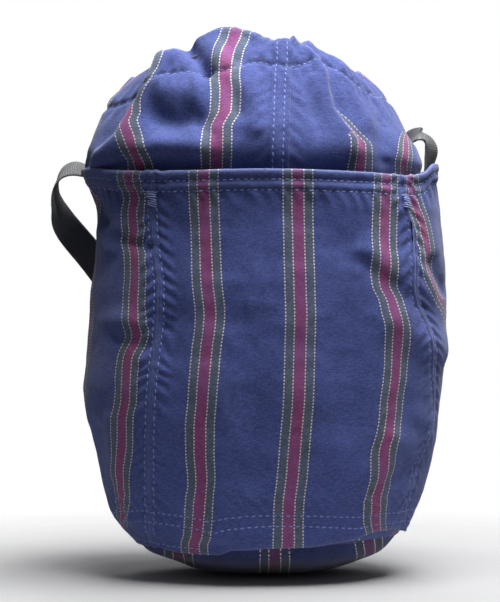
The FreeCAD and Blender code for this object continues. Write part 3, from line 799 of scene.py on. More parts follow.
Dw += (1 - wfw) * gat * g_on * (1 - 0.8 * eye_zone)
Dw += (0.1 + 0.55 * (1 - wfw)) * fine_p * (1 - 0.75 * eye_zone) * (0.45 * np.exp(-((rimd - CASE0) / 9.0) ** 2) + 0.75 * np.exp(-((rimd - CASE0 - 9) / 12.0) ** 2) + 0.35 * np.exp(-(rimd / 12.0) ** 2))
# casing: a row of stitches 25 mm under the rim, drawn in
CASE = pinterp(uw, [(100, 26), (135, 23), (150, 22), (161, 20), (185, 24), (205, 31), (222, 33), (240, 28), (262, 22),
                    (290, 20), (316, 16), (345, 20), (400, 24)])
CASE = CASE * wfw + 25.0 * (1 - wfw)
dc = rimd - CASE
Dw -= 1.3 * np.exp(-(dc / 1.8) ** 2) * (0.7 + 0.5 * pucker(SW, 12))
Dw += 1.3 * np.exp(-((dc + 10) / 8.0) ** 2)
Dw += 0.55 * np.exp(-((np.abs(dc) - 5) / 4.0) ** 2) * np.sin(SWt * 2 * math.pi / 8.6 + 3 * vnoise(SWt / 20.0, SWt * 0 + 2, 71))
# felled seams
for sl, ss in ((sFELL, 1), (sBS, 2)):
    ds = SW - sl[:, None]
    ds = np.where(ds > PERW[:, None] / 2, ds - PERW[:, None], ds)
    ds = np.where(ds < -PERW[:, None] / 2, ds + PERW[:, None], ds)
    Dw += 1.3 * (sm((ds + 7.5) / 1.6) * sm((5.2 - ds) / 0.5))
    Dw -= 0.45 * (groove(ds + 4.6, 0.9) + groove(ds - 1.4, 0.9)) * (0.6 + 0.6 * pucker(Zw, 14 + ss))
    Dw += 0.25 * np.exp(-((np.abs(ds + 1.5) - 10) / 5.0) ** 2) * np.sin((Zw + np.abs(ds) * 0.8) * 2 * math.pi / 8.4 + 2 * vnoise(Zw / 15.0, ds * 0, 73 + ss))
PW = PW0 + NW0 * Dw[..., None]
for en in ("eyelet_left", "eyelet_right"):
    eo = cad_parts[en]
    ev = np.array([list(eo.matrix_world @ q.co) for q in eo.data.vertices]) * 1000.0
    en_n = np.array([0.0, math.cos(math.radians(38)), math.sin(math.radians(38))])
    lvl = ev @ en_n
    ec = ev[lvl > lvl.max() - 0.6].mean(0)
    rel = PW - ec
    h_ = rel @ en_n
    rad_ = np.linalg.norm(rel - h_[..., None] * en_n, axis=2)
    wgt = (1 - sm((rad_ - 8.0) / 8.0)) * (np.abs(h_) < 14)
    PW = PW + (wgt * (-1.0 - h_))[..., None] * en_n
NW = -normals(PW, True)
if NW[RW // 2, CW // 2, 1] > 0:
    NW = -NW

UwL = np.zeros((RW, CW))
UwR = np.zeros((RW, CW))
_, fl_side = seg_dist(uw, vw, FOLD_L)
_, fr_side = seg_dist(uw, vw, FOLD_R)
sfold = smooth_line(at_cols(SW, col_of(PW0, [(v_, u_) for u_, v_ in FOLD_L], lo, hi)))
scut = SW[:, CW // 4]
sb0 = np.where(sBS > PERW / 2, sBS - PERW, sBS)
sb1 = sb0 + PERW
vfold = vw[:, CW // 4 + 20]
off0 = np.interp(vfold, [58, 68, 82, 95], [-106, -104, -84, -70.5])
ucut = off0 - (sfold - scut)
rref = RW // 3
UBL = ucut[rref] - (scut - sb0)[rref]
UBR = 68.2 + (sb1 - kR[1] - 10.2)[rref]
for r in range(RW):
    s = np.where(SW[r] > sBS[r], SW[r] - PERW[r], SW[r]) if sBS[r] > PERW[r] / 2 else SW[r]
    a1, a2 = kL[-1][r], kL[0][r]
    ks = np.array([(a1 - 210.2, -58 - 210.2), (a1 - 10.2, -68.2), (a1 + 10.2, -47.8), (a2 - 10.2, -10.2), (a2 + 10.2, 10.2),
                   (a2 + 210.2, 210.2)])
    ul = np.interp(s, ks[:, 0], ks[:, 1])
    outer = (fl_side[r] < 0) & (s >= scut[r]) & (s < a2)
    ul = np.where(outer, off0[r] + (s - sfold[r]), ul)
    ul = np.where(s < scut[r], UBL + (ucut[r] - UBL) * (s - sb0[r]) / (scut[r] - sb0[r]), ul)
    UwL[r] = ul
    s = SW[r]
    b1, b2 = kR[0][r], kR[1][r]
    if b2 - b1 < 22:
        b2 = b1 + 22
    ks = np.array([(b1 - 210.2, -210.2), (b1 - 10.2, -10.2), (b1 + 10.2, 10.2), (b2 - 10.2, 47.8), (b2 + 10.2, 68.2),
                   (b2 + 210.2, 268.2)])
    ur = np.interp(s, ks[:, 0], ks[:, 1])
    e1 = b2 + 10.2
    ur = np.where(s > e1, 68.2 + (UBR - 68.2) * (s - e1) / max(sb1[r] - e1, 1.0), ur)
    left_of = (fr_side[r] < 0) & (vw[r] < 134) & (s > sFELL[r] - 12) & (ur > -11.5) & (ur < 30) & (wfw[r] > 0.02)
    ur = np.where(left_of, -23.0 - ur, ur)
    UwR[r] = ur
wear_w = 0.5 * np.exp(-(rimd / 1.5) ** 2) + 0.3 * np.exp(-((dc + 2) / 1.5) ** 2)
_dl, _sl = seg_dist(uw, vw, FOLD_L)
_dr, _sr = seg_dist(uw, vw, FOLD_R)
wear_w += wfw * (0.5 * np.exp(-(_dl / 2.0) ** 2) + 0.35 * np.exp(-(_dr / 1.6) ** 2))


def wall_piece(name, c0f, c1f, node, Uw):
    """Half of the bag wall between two seams (arc length per row), with its turned casing and inner face."""
    n = int(np.median((c1f - c0f) % PERW) / 1.0)
    tt = np.linspace(0, 1, n)
    Pq = np.empty((RW, n, 3))
    Nq = np.empty((RW, n, 3))
    Q = {k: np.empty((RW, n)) for k in ("U", "V", "W")}
    for r in range(RW):
        width = (c1f[r] - c0f[r]) % PERW[r]
        s = c0f[r] + tt * width
        xs = np.concatenate([SW[r], SW[r] + PERW[r], SW[r] + 2 * PERW[r]])
        for k in range(3):
            Pq[r, :, k] = np.interp(s, xs, np.tile(PW[r, :, k], 3))
            Nq[r, :, k] = np.interp(s, xs, np.tile(NW[r, :, k], 3))
        near = np.clip(np.searchsorted(xs, s), 0, len(xs) - 1)
        Q["U"][r] = np.interp(s, xs, np.tile(Uw[r], 3))
        Q["V"][r] = np.interp(s, xs, np.tile(Vw[r], 3))
        Q["W"][r] = np.interp(s, xs, np.tile(wear_w[r], 3))
    # measure at the ends belongs to this half
    Q["U"][:, 0] = Q["U"][:, 1] - (Q["U"][:, 2] - Q["U"][:, 1])
    Q["U"][:, -1] = Q["U"][:, -2] + (Q["U"][:, -2] - Q["U"][:, -3])
    Nq /= np.linalg.norm(Nq, axis=2, keepdims=True)
    rows = [Pq[i] for i in range(RW)]
    uvr = [np.stack([Q["U"][i], Q["V"][i]], 1) for i in range(RW)]
    wr = [Q["W"][i] for i in range(RW)]
    T = 5.2                                     # casing with the cord in it
    cen = Pq[-1] - Nq[-1] * T / 2
    up = Pq[-1] - Pq[-3]
    up /= np.linalg.norm(up, axis=1, keepdims=True)
    for j in range(1, 9):
        a = math.pi * j / 9
        rows.append(cen + Nq[-1] * (math.cos(a) * T / 2) + up * math.sin(a) * T * 0.55)
        uvr.append(np.stack([Q["U"][-1], Q["V"][-1] + j * 0.9], 1))
        wr.append(Q["W"][-1] * (0.6 if j < 6 else 0.2))
    rd = Q["V"][-1][None, :] - Q["V"]
    off = 1.3 + (T - 1.3) * sm((27.0 - rd) / 4.0)
    inner = Pq - Nq * off[..., None]
    idx = list(range(RW - 1, RW - 61, -2)) + list(range(RW - 61, 0, -5)) + [0]
    for i in idx:
        rows.append(inner[i])
        uvr.append(np.stack([Q["U"][i], Q["V"][-1] + 8 + (Q["V"][-1] - Q["V"][i])], 1))
        wr.append(Q["W"][i] * 0)
    m = len(rows)
    verts = np.concatenate(rows)
    a = np.arange(n - 1)
    faces = []
    for i in range(m):
        j = (i + 1) % m
        faces += np.stack([i * n + a, i * n + a + 1, j * n + a + 1, j * n + a], 1).tolist()
    faces.append([i * n for i in range(m)])
    faces.append([i * n + n - 1 for i in range(m)][::-1])
    ob = make(name, verts, faces, np.concatenate(uvr), M_CLOTH, extra={"wear": np.concatenate(wr)})
    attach(ob, "bag")
    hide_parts(node)
    return ob


LAPW = 5.2
wall_piece("bag_wall_left", sBS, sFELL + LAPW, "body_panel_left", UwL)
wall_piece("bag_wall_right", sFELL + LAPW, sBS, "body_panel_right", UwR)

# ================================================= lower wall inside, base
# lower part of the wall, inside the sleeve down to the base seam
nl = 240
pl = PHI0 + 2 * math.pi * np.arange(nl) / nl
rows = []
for z in np.linspace(192, 26, 40):
    a = float(pinterp(np.array([z]), S_A)[0])
    gap = 1.9 + 9.0 * float(sm((z - 34) / 40.0))
    gs = 1.9 + 11.5 * float(sm((z - 34) / 40.0))
    x, y = bag_section(pl, a - gs, a * RATIO - gap, float(pinterp(np.array([z]), S_C)[0]))
    rows.append(np.stack([x, y, np.full(nl, z)], 1))
ins = []
for z in np.linspace(26, 190, 20):
    a = float(pinterp(np.array([z]), S_A)[0])
    gap = 3.2 + 9.0 * float(sm((z - 34) / 40.0))
    gs = 3.2 + 11.5 * float(sm((z - 34) / 40.0))
    x, y = bag_section(pl, a - gs, a * RATIO - gap, float(pinterp(np.array([z]), S_C)[0]))
    ins.append(np.stack([x, y, np.full(nl, z)], 1))
allr = rows + ins
vv_ = np.concatenate(allr)
ff = []
aa = np.arange(nl)
for i in range(len(allr)):
    j = (i + 1) % len(allr)
    ff += np.stack([i * nl + (aa + 1) % nl, i * nl + aa, j * nl + aa, j * nl + (aa + 1) % nl], 1).tolist()
uvl = np.concatenate([np.stack([aa * 580.0 / nl, q[:, 2]], 1) for q in allr])
low = make("bag_wall_lower", vv_, ff, uvl, M_CLOTH, extra={"wear": np.zeros(len(vv_))})
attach(low, "bag")

# base panel: a soft round bottom, stripes crossing it, in the striped cloth darkened as painted shade
NB, RB = 320, 46
pb = PHI0 + 2 * math.pi * np.arange(NB) / NB
db_ = np.degrees(pb) % 360
zb2 = around([(0, 27), (45, 22), (90, 20), (135, 20), (180, 21), (215, 19.5), (235, 18.5), (250, 18.5), (258, 22.5),
              (270, 24.5), (285, 25), (300, 27), (318, 31), (340, 30)], db_)
q = np.linspace(0, 1, RB)[:, None]               # 0 at seam, 1 at the middle of the foot
zprof = (zb2[None, :] + 1.0) * (1 - np.clip(q / 0.62, 0, 1)) ** 1.75
ab = pinterp(zprof, S_A) - 1.2 * (1 - q)
shrink = np.where(q > 0.62, 1 - (q - 0.62) / 0.38, 1.0)
ab = ab * shrink
xb, yb = bag_section(pb[None, :], ab, ab * RATIO, pinterp(zprof, S_C) * shrink)
wob = 0.9 * vnoise(xb / 18.0, yb / 18.0, 88) + 0.35 * vnoise(xb / 6.0, yb / 9.0, 89)
onair = sm((zprof - 1.0) / 6.0)
inset = around([(0, 1.6), (90, 1.2), (180, 0.6), (235, 0.2), (252, 1.0), (264, 3.6), (300, 4.2), (330, 3.0)], db_)[None, :] * np.exp(-((q - 0.0) / 0.16) ** 2)
rad = np.stack([np.cos(pb)[None, :] + 0 * ab, 0.9 * np.sin(pb)[None, :] + 0 * ab], 2)
xb2 = xb - inset * np.cos(pb)[None, :] + wob * onair * np.cos(pb)[None, :]
yb2 = yb - inset * np.sin(pb)[None, :] + wob * onair * np.sin(pb)[None, :]
zb3 = np.maximum(zprof + 0.5 * wob * onair, 0.0)
zb3 = zb3 + 3.4 * sm(-yb2 / 26.0) * np.exp(-(zprof / 9.0) ** 2)
PB = np.stack([xb2, yb2, zb3], 2)
uvb = np.stack([xb * 0.985 + 58 * 3 - 20.0 + 14.2, yb], 2)
PBi = PB.copy()
PBi[..., 2] += 1.5
PBi[..., 0] -= 1.2 * np.cos(pb)[None, :] * (1 - q)
PBi[..., 1] -= 1.2 * np.sin(pb)[None, :] * (1 - q)
seq = [PB[i] for i in range(RB - 1)] 
verts = np.concatenate(seq + [PB[-1].mean(0)[None, :]] + [PBi[i] for i in range(RB - 1)] + [PBi[-1].mean(0)[None, :]])
uvs = np.concatenate([uvb[i] for i in range(RB - 1)] + [uvb[-1].mean(0)[None, :]] + [uvb[i] for i in range(RB - 1)] + [uvb[-1].mean(0)[None, :]])
aa = np.arange(NB)
faces = []
off2 = (RB - 1) * NB + 1
for i in range(RB - 2):
    faces += np.stack([i * NB + aa, i * NB + (aa + 1) % NB, (i + 1) * NB + (aa + 1) % NB, (i + 1) * NB + aa], 1)[:, ::-1].tolist()
    faces += (np.stack([i * NB + aa, i * NB + (aa + 1) % NB, (i + 1) * NB + (aa + 1) % NB, (i + 1) * NB + aa], 1) + off2).tolist()
last = (RB - 2) * NB
mid1, mid2 = (RB - 1) * NB, off2 + (RB - 1) * NB
faces += [[last + (k + 1) % NB, last + k, mid1] for k in range(NB)]
faces += [[off2 + last + k, off2 + last + (k + 1) % NB, mid2] for k in range(NB)]
faces += np.stack([aa, (aa + 1) % NB, off2 + (aa + 1) % NB, off2 + aa], 1).tolist()
base = make("base_cloth", verts, faces, uvs, M_BASE_SHADED, extra={"wear": np.zeros(len(verts))})
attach(base, "bag")
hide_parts("base_panel")

# ================================================================== stitches
def capsule():
    """Unit stitch: length 1 along x, sunk at both ends."""
    ring = 6
    xs = [(-0.5, 0.0), (-0.42, 0.7), (-0.16, 1.0), (0.16, 1.0), (0.42, 0.7), (0.5, 0.0)]
    v, f = [], []
    for x, r in xs[1:-1]:
        for k in range(ring):
            a = 2 * math.pi * k / ring
            v.append((x, r * math.cos(a), r * math.sin(a)))
    v.append((xs[0][0], 0, 0))
    v.append((xs[-1][0], 0, 0))
    for i in range(3):
        for k in range(ring):
            f.append((i * ring + k, i * ring + (k + 1) % ring, (i + 1) * ring + (k + 1) % ring, (i + 1) * ring + k))
    for k in range(ring):
        f.append((24, (k + 1) % ring, k))
        f.append((25, 18 + k, 18 + (k + 1) % ring))
    return np.array(v), f


CAP_V, CAP_F = capsule()
rng = np.random.default_rng(7)


def stitches(name, paths, mat, thick=0.37, length=2.9, pitch=4.1, slant=0.0, node=None, lift=0.18):
    """Threads laid along paths of (points, normals)."""
    V, Fc = [], []
    nv = 0
    for pts, nrm in paths:
        seg = np.linalg.norm(np.diff(pts, axis=0), axis=1)
        L = np.concatenate([[0], np.cumsum(seg)])
        s = np.arange(pitch * 0.5, L[-1] - pitch * 0.4, pitch)
        if len(s) == 0:
            continue
        s = s + rng.uniform(-0.18, 0.18, len(s))
        c = np.stack([np.interp(s, L, pts[:, k]) for k in range(3)], 1)
        c2 = np.stack([np.interp(s + 0.5, L, pts[:, k]) for k in range(3)], 1)
        c1 = np.stack([np.interp(s - 0.5, L, pts[:, k]) for k in range(3)], 1)
        n = np.stack([np.interp(s, L, nrm[:, k]) for k in range(3)], 1)
        n /= np.linalg.norm(n, axis=1, keepdims=True)
        tg = c2 - c1
        tg -= n * (tg * n).sum(1, keepdims=True)
        tg /= np.linalg.norm(tg, axis=1, keepdims=True) + 1e-9
        bn = np.cross(n, tg)
        ang = slant + rng.uniform(-0.06, 0.06, len(s))
        t2 = tg * np.cos(ang)[:, None] + bn * np.sin(ang)[:, None]
        b2 = np.cross(n, t2)
        x = CAP_V[:, 0] * length
        y = CAP_V[:, 1] * thick
        z = CAP_V[:, 2] * thick * 0.8 - (np.abs(CAP_V[:, 0]) * 2) ** 2 * 0.45 + lift
        vv2 = (c[:, None, :] + t2[:, None, :] * x[None, :, None] + b2[:, None, :] * y[None, :, None] + n[:, None, :] * z[None, :, None])
        for i in range(len(s)):
            V.append(vv2[i])
            Fc += [[nv + q2 for q2 in fc] for fc in CAP_F]
            nv += len(CAP_V)
    ob = make(name, np.concatenate(V), Fc, None, mat)
    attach(ob, "bag")
    if node:
        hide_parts(node)
    return ob


def sleeve_line(s_of_row, rows_):
    """Points and normals on the sleeve at given arc length per row."""
    pts, nn = [], []
    for r in rows_:
        xs = np.concatenate([S0[r] - PER[r], S0[r], S0[r] + PER[r]])
        pts.append([np.interp(s_of_row[r], xs, np.tile(PS[r, :, k], 3)) for k in range(3)])
        nn.append([np.interp(s_of_row[r], xs, np.tile(NS[r, :, k], 3)) for k in range(3)])
    return np.array(pts), np.array(nn)


def sleeve_ring(depth_from, dist, c0=0, c1=C):
    """Row of points at a set distance from the hem ('top') or the lower edge ('foot')."""
    pts, nn = [], []
    for c in range(c0, c1):
        c = c % C
        z = ZH[c] - dist if depth_from == "top" else ZB[c] + (dist[c] if np.ndim(dist) else dist)
        f = (z - ZB[c]) / (ZH[c] - ZB[c]) * (R - 1)
        i = int(np.clip(math.floor(f), 0, R - 2))
        w = f - i
        pts.append(PS[i, c] * (1 - w) + PS[i + 1, c] * w)
        nn.append(NS[i, c] * (1 - w) + NS[i + 1, c] * w)
    return np.array(pts), np.array(nn)


top_r = int((1 - 9.0 / 229) * (R - 1))
foot_r = int(8.0 / 229 * (R - 1))
foot_r2 = int(14.5 / 229 * (R - 1))
rowsel = list(range(R - 1 - int(17.0 / 229 * R), foot_r, -1))
paths_v = []
for sl in (sFL, sFR, sBL, sBR):
    for o in (-3.2, 3.2):
        paths_v.append(sleeve_line(sl + o, rowsel))
stitches("stitch_pocket_seams", paths_v, M_THREAD, slant=0.22)
ring1 = sleeve_ring("top", H1)
ring2 = sleeve_ring("top", H2)
stitches("stitch_hem", [ring1, ring2], M_THREAD, slant=0.05)
cA, cB = int(C * (182 - 90) / 360), int(C * (246 - 90) / 360)
stitches("stitch_foot", [sleeve_ring("foot", B1), sleeve_ring("foot", B2), sleeve_ring("foot", 3.6, cA, cB)], M_THREAD, slant=0.05)

# casing row and felled seams on the wall
def wall_ring(dist_tab):
    pts, nn = [], []
    for c in range(CW):
        col = rimd[:, c] - dist_tab[:, c]
        i = int(np.argmin(np.abs(col)))
        pts.append(PW[i, c])
        nn.append(NW[i, c])
    p = np.array(pts)
    k = np.ones(5) / 5
    for j in range(3):
        p[:, j] = np.convolve(np.pad(p[:, j], 2, mode="wrap"), k, "valid")
    return p, np.array(nn)


def wall_line(sl, o, rows_):
    pts, nn = [], []
    for r in rows_:
        xs = np.concatenate([SW[r] - PERW[r], SW[r], SW[r] + PERW[r]])
        pts.append([np.interp(sl[r] + o, xs, np.tile(PW[r, :, k], 3)) for k in range(3)])
        nn.append([np.interp(sl[r] + o, xs, np.tile(NW[r, :, k], 3)) for k in range(3)])
    return np.array(pts), np.array(nn)


stitches("stitch_casing", [wall_ring(CASE)], M_THREAD, slant=0.1)
wr_ = range(RW - 2, int(RW * 0.42), -1)
stitches("stitch_felled", [wall_line(sFELL, -4.6, wr_), wall_line(sFELL, 1.4, wr_),
                           wall_line(sBS, -4.6, wr_), wall_line(sBS, 1.4, wr_)], M_THREAD, slant=0.18)

# bar tacks: close zigzag of paler thread at the head of each pocket seam
bt_paths = []
for sl in (sFL, sFR, sBL, sBR):
    r0 = R - 1 - int(11.5 / 229 * R)
    for k in range(11):
        zz = r0 - k * 0.55
        r = int(zz)
        o = -4.6 if k % 2 else 4.6
        p1, n1 = sleeve_line(sl - 4.4 + 0.2 * (k % 3), [r])
        p2, n2 = sleeve_line(sl + 4.4 - 0.2 * (k % 2), [max(r - 1, 0)])
        p3, n3 = sleeve_line(sl, [r])
        pts = np.concatenate([p1, p3, p2])
        bt_paths.append((pts + np.array([0, 0, -k * 0.12]), np.concatenate([n1, n3, n2])))
stitches("bar_tack_threads", bt_paths, M_THREAD_P, thick=0.34, length=8.4, pitch=8.6, node="bar_tacks", lift=0.35)

# =================================================================== webbing
def catmull(pts, n):
    pts = np.array(pts, float)
    out = []
    k = len(pts)
    for i in range(k - 1):
        p0, p1, p2, p3 = pts[max(i - 1, 0)], pts[i], pts[i + 1], pts[min(i + 2, k - 1)]
        for j in range(n):
            t_ = j / n
            out.append(0.5 * (2 * p1 + (p2 - p0) * t_ + (2 * p0 - 5 * p1 + 4 * p2 - p3) * t_ ** 2 + (-p0 + 3 * p1 - 3 * p2 + p3) * t_ ** 3))
    out.append(pts[-1])
    return np.array(out)


def webbing(names, ctrl, cuts, w=20.0, th=1.4):
    """Ribbed flat webbing through rows x,y,z, wx,wy,wz."""
    p = catmull(ctrl, 30)
    seg = np.linalg.norm(np.diff(p[:, :3], axis=0), axis=1)
    L = np.concatenate([[0], np.cumsum(seg)])
    rib = 1.15
    n = max(8, int(L[-1] / rib * 4))
    s = np.linspace(0, L[-1], n)
    q_ = np.stack([np.interp(s, L, p[:, k]) for k in range(6)], 1)
    ker_ = np.ones(9) / 9
    T_ = np.gradient(q_[:, :3], axis=0)
    for k in range(3):
        T_[:, k] = np.convolve(np.pad(T_[:, k], 4, mode="edge"), ker_, "valid")
    T_ /= np.linalg.norm(T_, axis=1, keepdims=True)
    Wd = q_[:, 3:] - T_ * (q_[:, 3:] * T_).sum(1, keepdims=True)
    Wd /= np.linalg.norm(Wd, axis=1, keepdims=True)
    Nn = np.cross(T_, Wd)
    prof = [(-1.0, 0.0), (-0.97, 0.75), (-0.86, 1.0), (-0.5, 1.0), (0, 1.0), (0.5, 1.0), (0.86, 1.0), (0.97, 0.75),
            (1.0, 0.0), (0.97, -0.75), (0.86, -1.0), (0.5, -1.0), (0, -1.0), (-0.5, -1.0), (-0.86, -1.0), (-0.97, -0.75)]
    ribh = 0.16 * np.cos(s * 2 * math.pi / rib)
    V = []
    for a, b in prof:
        V.append(q_[:, :3] + Wd * (a * w / 2 * (1 + 0.0 * ribh[:, None])) + Nn * (b * (th / 2 + ribh))[:, None] * 1.0)
    m_ = len(prof)
    V = np.stack(V, 1)
    uvx = np.array([a * 10 + (0 if b >= 0 else 30) for a, b in prof])
    cut = [0] + [int(np.argmin(np.linalg.norm(q_[:, :3] - np.array(c_), axis=1))) for c_ in cuts] + [n - 1]
    k = np.arange(m_)
    out = []
    for nm, i0, i1 in zip(names, cut, cut[1:]):
        cnt = i1 - i0 + 1
        faces = []
        for i in range(cnt - 1):
            faces += np.stack([i * m_ + k, i * m_ + (k + 1) % m_, (i + 1) * m_ + (k + 1) % m_, (i + 1) * m_ + k], 1).tolist()
        faces.append(list(range(m_))[::-1])
        faces.append([(cnt - 1) * m_ + j for j in range(m_)])
        uvw = np.stack([np.tile(uvx, cnt), np.repeat(s[i0:i1 + 1], m_)], 1)
        out.append(make(nm, V[i0:i1 + 1].reshape(-1, 3), faces, uvw, M_WEB))
    return out


# the same route as the CAD webbing
SL0, SL1 = np.array([38.0, 92.0, 84.0]), np.array([66.0, 90.0, 152.0])
left_up = [(-95.2, 8, 208, 0, 1, 0), (-97.0, 8, 225, 0, 1, 0), (-102.0, 8, 240, 0, 0.98, 0.15), (-108.5, 8, 249.0, 0, 0.92, 0.34),
           (-115.5, 8, 253.2, 0, 0.88, 0.46), (-122, 8, 253.8, 0.0, 0.88, 0.47)]
left_down = [(-128.0, 8.5, 250.4, 0, 0.9, 0.42), (-131.6, 9.5, 243, 0.05, 0.95, 0.3), (-131.4, 12, 232, 0.25, 0.95, 0.2),
             (-127.0, 22, 219, 0.6, 0.68, 0.42), (-110.0, 50, 196, 0.72, 0.45, 0.5)]
mid_route = [(-88.0, 76, 164, 0.82, 0.1, 0.56),
             (-62.0, 91, 122, 0.86, 0.0, 0.5), (-36.0, 93, 82, 0.8, 0, 0.6), (-8.0, 93, 58, 0.35, 0, 0.94),
             (20.0, 93, 61, -0.55, 0, 0.83)]
mid_route += [tuple(SL0 + (SL1 - SL0) * k) + (-0.92, 0, 0.38) for k in (0, 0.06, 0.5, 0.94, 1)]
mid_route += [(81.0, 80, 200, -0.95, 0.15, 0.25)]
right_down = [(88.5, 66, 236, -0.85, 0.5, 0.1), (91.0, 47, 257, -0.5, 0.82, 0.22), (91.6, 31, 270.5, -0.12, 0.92, 0.34),
              (97.0, 20, 275.2, 0, 0.94, 0.33)]
right_up = [(101.2, 20, 275.0, 0.12, 0.94, 0.3), (104.8, 20, 272.2, 0.3, 0.93, 0.22), (106.4, 20, 267.0, 0.45, 0.88, 0.1),
            (105.4, 20, 260.5, 0.4, 0.91, 0), (102.6, 20, 251, 0.15, 0.98, 0), (98.5, 20, 238, -0.1, 0.98, 0),
            (95.0, 20, 224, -0.25, 0.96, 0), (94.8, 20, 208, -0.3, 0.95, 0)]
w1, w2, w3 = webbing(["strap_left_turn", "strap_loop", "strap_right_turn"],
                     left_up + left_down + mid_route + right_down + right_up,
                     [left_down[-1][:3], right_down[0][:3]])


def along(c, d, t0, t1):
    c, d = np.array(c, float), np.array(d, float)
    d = d / (d @ d)
    return tuple((c + d * t0) * MM), tuple((c + d * t1) * MM)


b0, b1 = along((-122, 8, 254), (-0.8, 0.5, 0.0), -5.0, 6.0)
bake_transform(w1)
b0, b1 = along((97, 20, 275.4), (-0.7, 0.5, 0.35), -5.0, 7.0)
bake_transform(w3)
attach(w2, "strap")
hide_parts("strap_end_left")
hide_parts("strap_webbing")
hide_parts("strap_end_right")

# ================================================ the cord inside its channel
cord_pts = []
for c in range(CW):
    i = int(np.argmin(np.abs(rimd[:, c] - 9.5)))
    cord_pts.append(PW[i, c] - NW[i, c] * 3.1)
cord_pts = np.array(cord_pts)
for _ in range(3):
    for k in range(3):
        cord_pts[:, k] = np.convolve(np.pad(cord_pts[:, k], 4, mode="wrap"), np.ones(9) / 9, "valid")
# leave the channel at the two eyelets
ang_of = lambda c: degw[c]
eyeL, eyeR = np.array([-26.7, 42.5, 328.75]), np.array([1.3, 42.5, 328.75])
iL = min(range(0, CW // 2), key=lambda c: abs(cord_pts[c, 0] - eyeL[0]) + (0 if cord_pts[c, 1] > 0 else 999))
iR = min(list(range(CW - 1, CW // 2, -1)) + list(range(0, 40)), key=lambda c: abs(cord_pts[c, 0] - eyeR[0]) + (0 if cord_pts[c, 1] > 0 else 999))
seq_c = list(range(iL + 6, (iR if iR > CW // 2 else iR + CW) - 5, 6))
cp = [eyeL] + [cord_pts[c % CW] for c in seq_c] + [eyeR]
cc_ = catmull([tuple(q) for q in cp], 6)
tn = np.gradient(cc_, axis=0)
tn /= np.linalg.norm(tn, axis=1, keepdims=True)
upv = np.array([0, 0, 1.0])
e1 = np.cross(tn, upv)
e1 /= np.linalg.norm(e1, axis=1, keepdims=True) + 1e-9
e2 = np.cross(tn, e1)
kk = 12
ths = 2 * math.pi * np.arange(kk) / kk
Vt = (cc_[:, None, :] + 1.6 * (np.cos(ths)[None, :, None] * e1[:, None, :] + np.sin(ths)[None, :, None] * e2[:, None, :]))
ft = []
for i in range(len(cc_) - 1):
    ft += [[i * kk + k, i * kk + (k + 1) % kk, (i + 1) * kk + (k + 1) % kk, (i + 1) * kk + k] for k in range(kk)]
ft.append(list(range(kk))[::-1])
ft.append([(len(cc_) - 1) * kk + k for k in range(kk)])
cord_ob = make("drawcord_braid", Vt.reshape(-1, 3), ft, None, M_CORD)
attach(cord_ob, "bag")
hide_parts("drawcord")

# ============================================================ carried CAD parts
def paint(node, mat, bevel=0.0):
    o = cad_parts[node]
    o.data.materials.clear()
    o.data.materials.append(mat)
    if bevel:
        b = o.modifiers.new("edge", "BEVEL")
        b.width = bevel
        b.segments = 3
        b.limit_method = "ANGLE"
    return o


paint("strap_slider", M_PLASTIC, 0.0006)
paint("eyelet_left", M_BRASS)
paint("eyelet_right", M_BRASS)

# ============================================ stopper knots and base seam tape
def tube(pts, r, closed):
    n = len(pts)
    if closed:
        tg = np.roll(pts, -1, 0) - np.roll(pts, 1, 0)
    else:
        tg = np.gradient(pts, axis=0)
    tg /= np.linalg.norm(tg, axis=1, keepdims=True)
    ref = np.array([1.0, 0.0, 0.0]) if not closed else np.array([0.0, 0.788, 0.616])
    a1 = np.cross(tg, ref)
    a1 /= np.linalg.norm(a1, axis=1, keepdims=True) + 1e-9
    a2 = np.cross(tg, a1)
    th = 2 * math.pi * np.arange(12) / 12
    V = pts[:, None, :] + r * (np.cos(th)[None, :, None] * a1[:, None, :] + np.sin(th)[None, :, None] * a2[:, None, :])
    F_ = []
    for i in range(n if closed else n - 1):
        j = (i + 1) % n
        F_ += [[i * 12 + k, i * 12 + (k + 1) % 12, j * 12 + (k + 1) % 12, j * 12 + k] for k in range(12)]
    if not closed:
        F_ += [list(range(12))[::-1], [(n - 1) * 12 + k for k in range(12)]]
    return V.reshape(-1, 3), F_


kv, kf = [], []
tk = 2 * math.pi * np.arange(96) / 96
nk = np.array([0.0, 0.788, 0.616])
ku = np.array([1.0, 0.0, 0.0])
kw = np.cross(nk, ku)
for x0 in (-26.7, 1.3):
    eye, mid_ = np.array([x0, 42.5, 328.75]), np.array([x0, 45.9, 335.6])
    lo = 1.0 * ((np.sin(tk) + 2 * np.sin(2 * tk))[:, None] * ku + (np.cos(tk) - 2 * np.cos(2 * tk))[:, None] * kw - 1.5 * np.sin(3 * tk)[:, None] * nk)
    stub = eye + np.linspace(0, 1, 10)[:, None] * (mid_ - eye)
    for q, r_, cl in ((mid_ + lo, 1.45, True), (stub, 1.6, False)):
        V_, F_ = tube(q, r_, cl)
        base_i = sum(len(v) for v in kv)
        kv.append(V_)
        kf += [[i + base_i for i in f] for f in F_]
knots = make("stopper_knots", np.concatenate(kv), kf, None, M_CORD)
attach(knots, "bag")
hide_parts("drawcord_knots")

